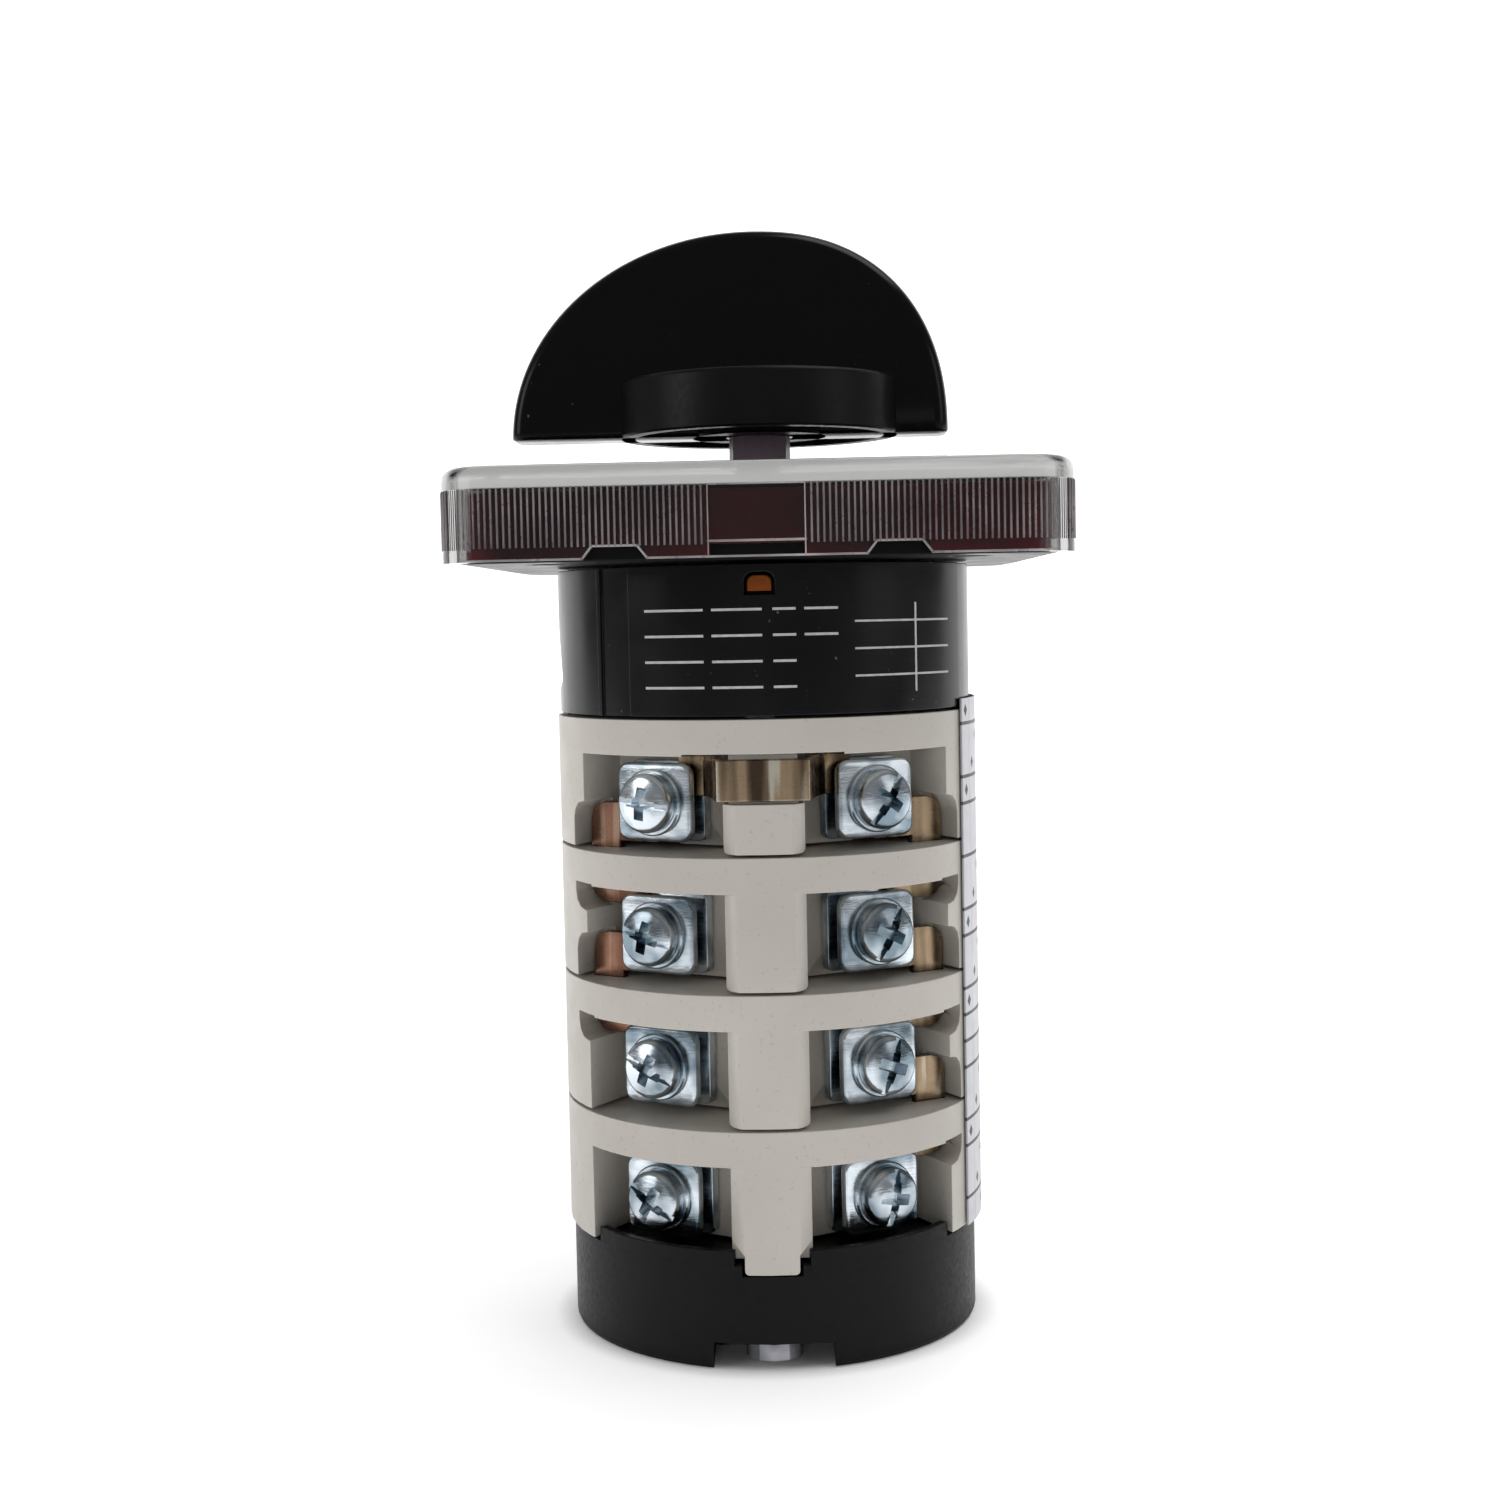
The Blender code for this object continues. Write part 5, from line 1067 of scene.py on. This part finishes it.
    def dial_print(self, ink):
        """Position marks and the numbers 1, 0 and 2 around the shaft."""
        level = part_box("dial_plate")[1].z + 0.01 * MM
        marks = bmesh.new()
        for step in range(-12, 13):
            outer = (16.6 if step % 12 else 18.2) * MM
            size = (15.4 * MM, outer), (-0.12 * MM, 0.12 * MM), (level, level + 0.03 * MM)
            gathered(marks, moved(block(*size), about_z(math.pi + math.radians(5 * step))))
        piece("dial_marks", marks, FIXED_BODY, ink, "silver_foil")
        for text, degrees in (("1", 60), ("0", 0), ("2", -60)):
            turn = about_z(math.pi + math.radians(degrees))
            self.number(text, turn @ Vector((21.3 * MM, 0, level)), ink)

    def number(self, text, place, ink):
        """A number as flat solid print, centred on a place."""
        half_depth = 0.015 * MM
        curve = bpy.data.curves.new(f"number_{text}", "FONT")
        curve.body = text
        curve.size = 5.2 * MM
        curve.extrude = half_depth
        curve.align_x = "CENTER"
        curve.align_y = "CENTER"
        bm = reopened(baked(linked(f"number_{text}", curve)))
        bmesh.ops.remove_doubles(bm, verts=bm.verts, dist=TINY)
        moved(bm, Matrix.Translation(place + Vector((0, 0, half_depth))))
        piece(f"dial_number_{text}", bm, FIXED_BODY, ink, "silver_foil")


def rod(start, end, width):
    """A thin flat rod that lies on an upright wall, between two points."""
    along = end - start
    half, thick = width / 2, 0.05 * MM
    bm = block((-half, along.length + half), (-thick, thick), (-half, half))
    round_edges(bm, 0.03 * MM, 1)
    turn = about_z(math.atan2(along.y, along.x))
    tilt = Matrix.Rotation(-math.atan2(along.z, along.xy.length), 4, "Y")
    return moved(bm, Matrix.Translation(start) @ turn @ tilt)


def rounded_square(side, corner, steps):
    inner = side / 2 - corner
    points = []
    middles = ((inner, inner), (-inner, inner), (-inner, -inner), (inner, -inner))
    for turn, (x, y) in enumerate(middles):
        for step in range(steps + 1):
            angle = (turn + step / steps) * math.pi / 2
            points.append((x + corner * math.cos(angle), y + corner * math.sin(angle)))
    return points


class CAMSWITCH_OT_terminals(bpy.types.Operator):
    """Models the sixteen screw terminals"""

    bl_idname = "camswitch.terminals"
    bl_label = "Terminals"

    def execute(self, context):
        sizes = context.scene.terminal_sizes
        zinc = context.scene.switch_colours.zinc
        metals = [
            plated_metal("screw_zinc", shade(zinc, 1.15), 0.13, 0.7, srgb(120, 136, 146)),
            plated_metal("clamp_zinc", zinc, 0.2, 0.4, srgb(160, 170, 178)),
            plated_metal("bar_nickel", srgb(120, 106, 88), 0.2, 0.12, srgb(48, 40, 34)),
            # Dark teal metal for the screw recesses: painted shade and painted dark reflection.
            plated_metal("recess_painted_shade", srgb(70, 92, 100), 0.3, 0.3, srgb(30, 42, 48)),
        ]
        head = self.head(sizes)
        others = [self.bar(sizes), self.clamp(sizes), self.shank(sizes)]
        for deck in DECKS:
            for row, (face_name, face) in enumerate(FACES):
                for column, (side_name, side) in enumerate(SIDES):
                    turn = 47 * (4 * deck + 2 * row + column) % 90
                    whole = bmesh.new()
                    whole.from_mesh(head)
                    moved(whole, about_z(math.radians(turn)))
                    for part in others:
                        whole.from_mesh(part)
                    flip = Matrix.Diagonal((side, face, 1, 1))
                    lift = Matrix.Translation((0, 0, deck_bottom(deck)))
                    moved(whole, lift @ flip @ self.to_pocket(sizes))
                    node = f"terminal_{deck}_{face_name}_{side_name}"
                    shape = smooth_mesh(f"{node}_shape", whole, 38)
                    placed(f"{node}_shape", shape, FIXED_BODY, metals, "zinc_steel", node)
        for part in (head, *others):
            bpy.data.meshes.remove(part)
        return {"FINISHED"}

    def kept(self, name, bm, metal):
        """A part on a screw's own axis as a mesh, with the number of its metal."""
        for face in bm.faces:
            if face.material_index != RECESS_PAINTED_SHADE:
                face.material_index = metal
        return as_mesh(name, bm)

    def to_pocket(self, sizes):
        """Takes a part from a screw's own axis, along Z, to the right front pocket."""
        lay = Matrix.Rotation(math.pi / 2, 4, "X")
        shift = Matrix.Translation((sizes.offset, 0, sizes.height))
        return about_z(math.radians(30)) @ shift @ lay

    def plate(self, width, tall, depth, corner, rim):
        """A plate with round corners and soft rims, each given by radius and segments."""
        bm = block((-width / 2, width / 2), (-tall / 2, tall / 2), depth)
        round_edges(bm, *corner, upright)
        return round_edges(bm, *rim, lambda edge: sharp(edge, 50))

    def clamp(self, sizes):
        """The square clamp plate, with the hole for its screw."""
        depth = (sizes.clamp_back, sizes.clamp_front)
        width, tall = sizes.clamp_width, sizes.clamp_tall
        plate = self.plate(width, tall, depth, (1.2 * MM, 4), (0.3 * MM, 3))
        hole = cylinder(2.0 * MM, 0, sizes.clamp_front + MM, 24)
        return self.kept("clamp", carved(plate, hole), 1)

    def bar(self, sizes):
        """The contact bar behind the clamp, with the lug that reaches the contacts."""
        depth = (sizes.bar_back, sizes.bar_front)
        tall = 2 * sizes.height - MM
        plate = self.plate(sizes.bar_width, tall, depth, (0.7 * MM, 3), (0.12 * MM, 2))
        lug = block((9.2 * MM, 10.4 * MM), (-9.9 * MM, -2.6 * MM), (2.9 * MM, 6.1 * MM))
        round_edges(lug, 0.12 * MM, 2)
        profile = ((0, 10.9), (0.9, 10.85), (1.25, 10.6), (1.3, 10.3), (0, 10.3))
        button = turned_profile([(x * MM, z * MM) for x, z in profile], 24)
        place = Matrix.Translation((0, -4.0 * MM, sizes.height))
        moved(button, place @ Matrix.Rotation(math.pi / 2, 4, "Y"))
        for part in (lug, button):
            moved(part, self.to_pocket(sizes).inverted())
        return self.kept("bar", gathered(plate, lug, button), 2)

    def head(self, sizes):
        """A washer and a pan head with a slot and a cross recess."""
        front = sizes.clamp_front
        seat = front + sizes.washer
        top = seat + sizes.head_height
        wide, radius = sizes.washer_radius, sizes.head_radius
        soft, lap, edge = 0.15 * MM, 0.05 * MM, 0.6 * MM
        profile = [(0, seat), (wide - soft, seat), (wide, seat - soft), (wide, front + soft)]
        profile += [(wide - soft, front - lap), (0, front - lap)]
        washer = turned_profile(profile, 40)
        flank_top = top - sizes.crown
        profile = [(0, top), (0.3 * radius, top - 0.12 * sizes.crown)]
        profile.append((0.55 * radius, top - 0.42 * sizes.crown))
        profile += corner_arc(radius, flank_top, edge)
        profile += [(radius, seat + 0.1 * MM), (radius - soft, seat - lap), (0, seat - lap)]
        head = turned_profile(profile, 48)
        cutters = [block((-4 * MM, 4 * MM), (-0.3 * MM, 0.3 * MM), (top - 0.75 * MM, top + MM))]
        for angle, half in ((0, 0.5 * MM), (math.pi / 2, 0.62 * MM)):
            arm = block((-2.0 * MM, 2.0 * MM), (-half, half), (top - 1.5 * MM, top + 0.6 * MM))
            for vert in arm.verts:
                if vert.co.z < top:
                    vert.co.x *= 0.5
                    vert.co.y *= 0.7
            cutters.append(moved(arm, about_z(angle)))
        head = carved(head, *cutters)
        # Faces deep in the slot and cross recess take the dark teal metal: painted shade in the
        # recess.
        for face in head.faces:
            middle = face.calc_center_median()
            deep = seat + 0.2 * MM < middle.z < flank_top - 0.1 * MM
            if deep and middle.xy.length < radius - edge / 2:
                face.material_index = RECESS_PAINTED_SHADE
        return self.kept("head", gathered(washer, head), 0)

    def shank(self, sizes):
        """The screw's thread, seen between bar and clamp."""
        radius, pitch = sizes.shank_radius, sizes.thread_pitch
        level = sizes.clamp_front
        profile = [(0, level)]
        while level > sizes.bar_back + 0.8 * MM:
            profile += [(radius, level), (radius - 0.3 * MM, level - pitch / 2)]
            level -= pitch
        profile.append((0, profile[-1][1]))
        return self.kept("shank", turned_profile(profile, 24), 0)


class CAMSWITCH_OT_links(bpy.types.Operator):
    """Models the jumper links"""

    bl_idname = "camswitch.links"
    bl_label = "Jumper links"

    def execute(self, context):
        # Brown, tan and cream bands of the left links: painted reflections.
        bands = srgb(108, 76, 62), srgb(144, 108, 90), srgb(160, 132, 112)
        brown = nickel_with_painted_reflections("link_brown", *bands)
        bright = context.scene.switch_colours.link
        olive = nickel_with_painted_reflections("link_olive", srgb(78, 65, 53), srgb(172, 150, 122), bright)
        for name in frame["nodes"]:
            if "link" in name:
                metal = brown if name.startswith("left") else olive
                softened(name, FIXED_BODY, metal, "nickel_brass", 0.14 * MM)
        return {"FINISHED"}


class CAMSWITCH_OT_label(bpy.types.Operator):
    """Models the wiring label"""

    bl_idname = "camswitch.label"
    bl_label = "Wiring label"

    def execute(self, context):
        colours = context.scene.switch_colours
        low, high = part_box("wiring_label")
        outer = high.x
        half = math.asin((high.y - 0.02 * MM) / outer)
        bm = arc_strip(outer - 0.18 * MM, outer, low.z, high.z, -half, 2 * half, 28)
        chart = bm.loops.layers.uv.new("chart")
        for face in bm.faces:
            for loop in face.loops:
                spot = loop.vert.co
                across = (math.atan2(spot.y, spot.x) + half) / (2 * half)
                loop[chart].uv = (across, (spot.z - low.z) / (high.z - low.z))
        paper = label_paper("label_paper", colours.label, colours.ink)
        piece("wiring_label_shape", bm, FIXED_BODY, paper, "white_paper", "wiring_label")
        return {"FINISHED"}


class CAMSWITCH_OT_stage(bpy.types.Operator):
    """Sets the floor, the light and the camera"""

    bl_idname = "camswitch.stage"
    bl_label = "Stage"

    def execute(self, context):
        scene = context.scene
        scene.view_settings.view_transform = "Standard"
        self.sweep()
        world = bpy.data.worlds.new("studio")
        scene.world = world
        world.use_nodes = True
        world.node_tree.nodes["Background"].inputs["Color"].default_value = (0.21, 0.21, 0.215, 1)
        area("light_left", (-0.62, -0.28, 0.26), 0.3, 0.6)
        area("light_right", (0.66, -0.30, 0.22), 0.3, 0.26)
        area("light_top", (0.25, -0.05, 0.66), 0.4, 1.3)
        for side, power in ((-0.75, 0.85), (-0.05, 0.96), (0.75, 0.7)):
            fill = area("light_fill", (side, -0.95 + 0.45 * abs(side), 0.155), 0.3, power)
            fill.visible_glossy = False
            fill.visible_transmission = False
        self.camera(scene)
        return {"FINISHED"}

    def sweep(self):
        """White paper: a floor that curves up into a back wall."""
        half_width = 1.5
        floor_end = 0.55
        radius = 0.35
        points = [(-half_width, -1.2, 0)]
        for step in range(17):
            turn = math.pi / 2 * step / 16
            y, z = floor_end + radius * math.sin(turn), radius - radius * math.cos(turn)
            points.append((-half_width, y, z))
        points.append((-half_width, floor_end + radius, 1.6))
        bm = bmesh.new()
        edges = polyline(bm, points)[1]
        shift_new(bm, bmesh.ops.extrude_edge_only(bm, edges=edges), (2 * half_width, 0, 0))
        mesh = as_mesh("paper", bm)
        mesh.shade_smooth()
        mesh.materials.append(self.paper())
        linked("paper", mesh)

    def paper(self):
        """Pale paper that glows round the switch, and less so towards the front. The glow is left
        out under the switch and rises from 19.5 to 23.5 mm from its axis: painted shadow round the
        foot.
        """
        finish = Finish("paper", Roughness=0.9)
        finish.colour(srgb(236, 236, 236))
        distance = finish.add("ShaderNodeVectorMath", {"operation": "LENGTH"}, i0=finish.place)
        finish.put(finish.shader, "Emission Color", (1, 1, 1))
        # No glow under the switch, rising just past its foot: painted shadow round the foot.
        near = finish.spread(distance.outputs["Value"], 0.0195, 0.0235, 0.0, 0.5)
        far = finish.spread(distance.outputs["Value"], 0.0235, 0.2, 0.0, 0.45)
        front = finish.spread(finish.split(finish.place)["Y"], -0.22, -0.07)
        glow = finish.math("MULTIPLY", finish.math("ADD", near, far), front)
        finish.put(finish.shader, "Emission Strength", glow)
        return finish.material

    def camera(self, scene):
        data = bpy.data.cameras.new("camera")
        data.lens = 50
        data.sensor_width = 36
        camera = linked("camera", data)
        camera.location = (0.0031, -0.2179, 0.07285)
        camera.rotation_euler = [math.radians(v) for v in (86.323, 1.16, 1.171)]
        scene.camera = camera


def area(name, place, size, power):
    """A square soft box that looks at the switch."""
    data = bpy.data.lights.new(name, "AREA")
    data.shape = "SQUARE"
    data.size = size
    data.energy = power
    light = linked(name, data)
    light.location = place
    aim = Vector((0, 0, 0.06)) - Vector(place)
    light.rotation_euler = aim.to_track_quat("-Z", "Y").to_euler()
    return light


class CAMSWITCH_PT_pieces(bpy.types.Panel):
    bl_idname = "CAMSWITCH_PT_pieces"
    bl_label = "Cam Switch"
    bl_space_type = "VIEW_3D"
    bl_region_type = "UI"
    bl_category = "Cam Switch"

    def draw(self, context):
        column = self.layout.column()
        for operator in OPERATORS:
            column.operator(operator.bl_idname)
        for group in GROUPS:
            values = getattr(context.scene, group)
            for name in values.bl_rna.properties.keys():
                if name not in ("rna_type", "name"):
                    column.prop(values, name)


GROUPS = {
    "spring_sizes": SpringSizes,
    "switch_colours": SwitchColours,
    "handle_sizes": HandleSizes,
    "cover_sizes": CoverSizes,
    "terminal_sizes": TerminalSizes,
}
OPERATORS = (
    CAMSWITCH_OT_finishes,
    CAMSWITCH_OT_springs,
    CAMSWITCH_OT_decks,
    CAMSWITCH_OT_housing,
    CAMSWITCH_OT_cap,
    CAMSWITCH_OT_handle,
    CAMSWITCH_OT_cover,
    CAMSWITCH_OT_terminals,
    CAMSWITCH_OT_links,
    CAMSWITCH_OT_label,
    CAMSWITCH_OT_stage,
)


def register():
    for one in (*GROUPS.values(), *OPERATORS, CAMSWITCH_PT_pieces):
        bpy.utils.register_class(one)
    for name, group in GROUPS.items():
        setattr(bpy.types.Scene, name, bpy.props.PointerProperty(type=group))


def unregister():
    for name in GROUPS:
        delattr(bpy.types.Scene, name)
    for one in reversed((*GROUPS.values(), *OPERATORS, CAMSWITCH_PT_pieces)):
        bpy.utils.unregister_class(one)


def main():
    register()
    bpy.ops.camswitch.finishes()
    bpy.ops.camswitch.springs()
    bpy.ops.camswitch.decks()
    bpy.ops.camswitch.housing()
    bpy.ops.camswitch.cap()
    bpy.ops.camswitch.handle()
    bpy.ops.camswitch.cover()
    bpy.ops.camswitch.terminals()
    bpy.ops.camswitch.links()
    bpy.ops.camswitch.label()
    bpy.ops.camswitch.stage()


if __name__ == "__main__":
    main()
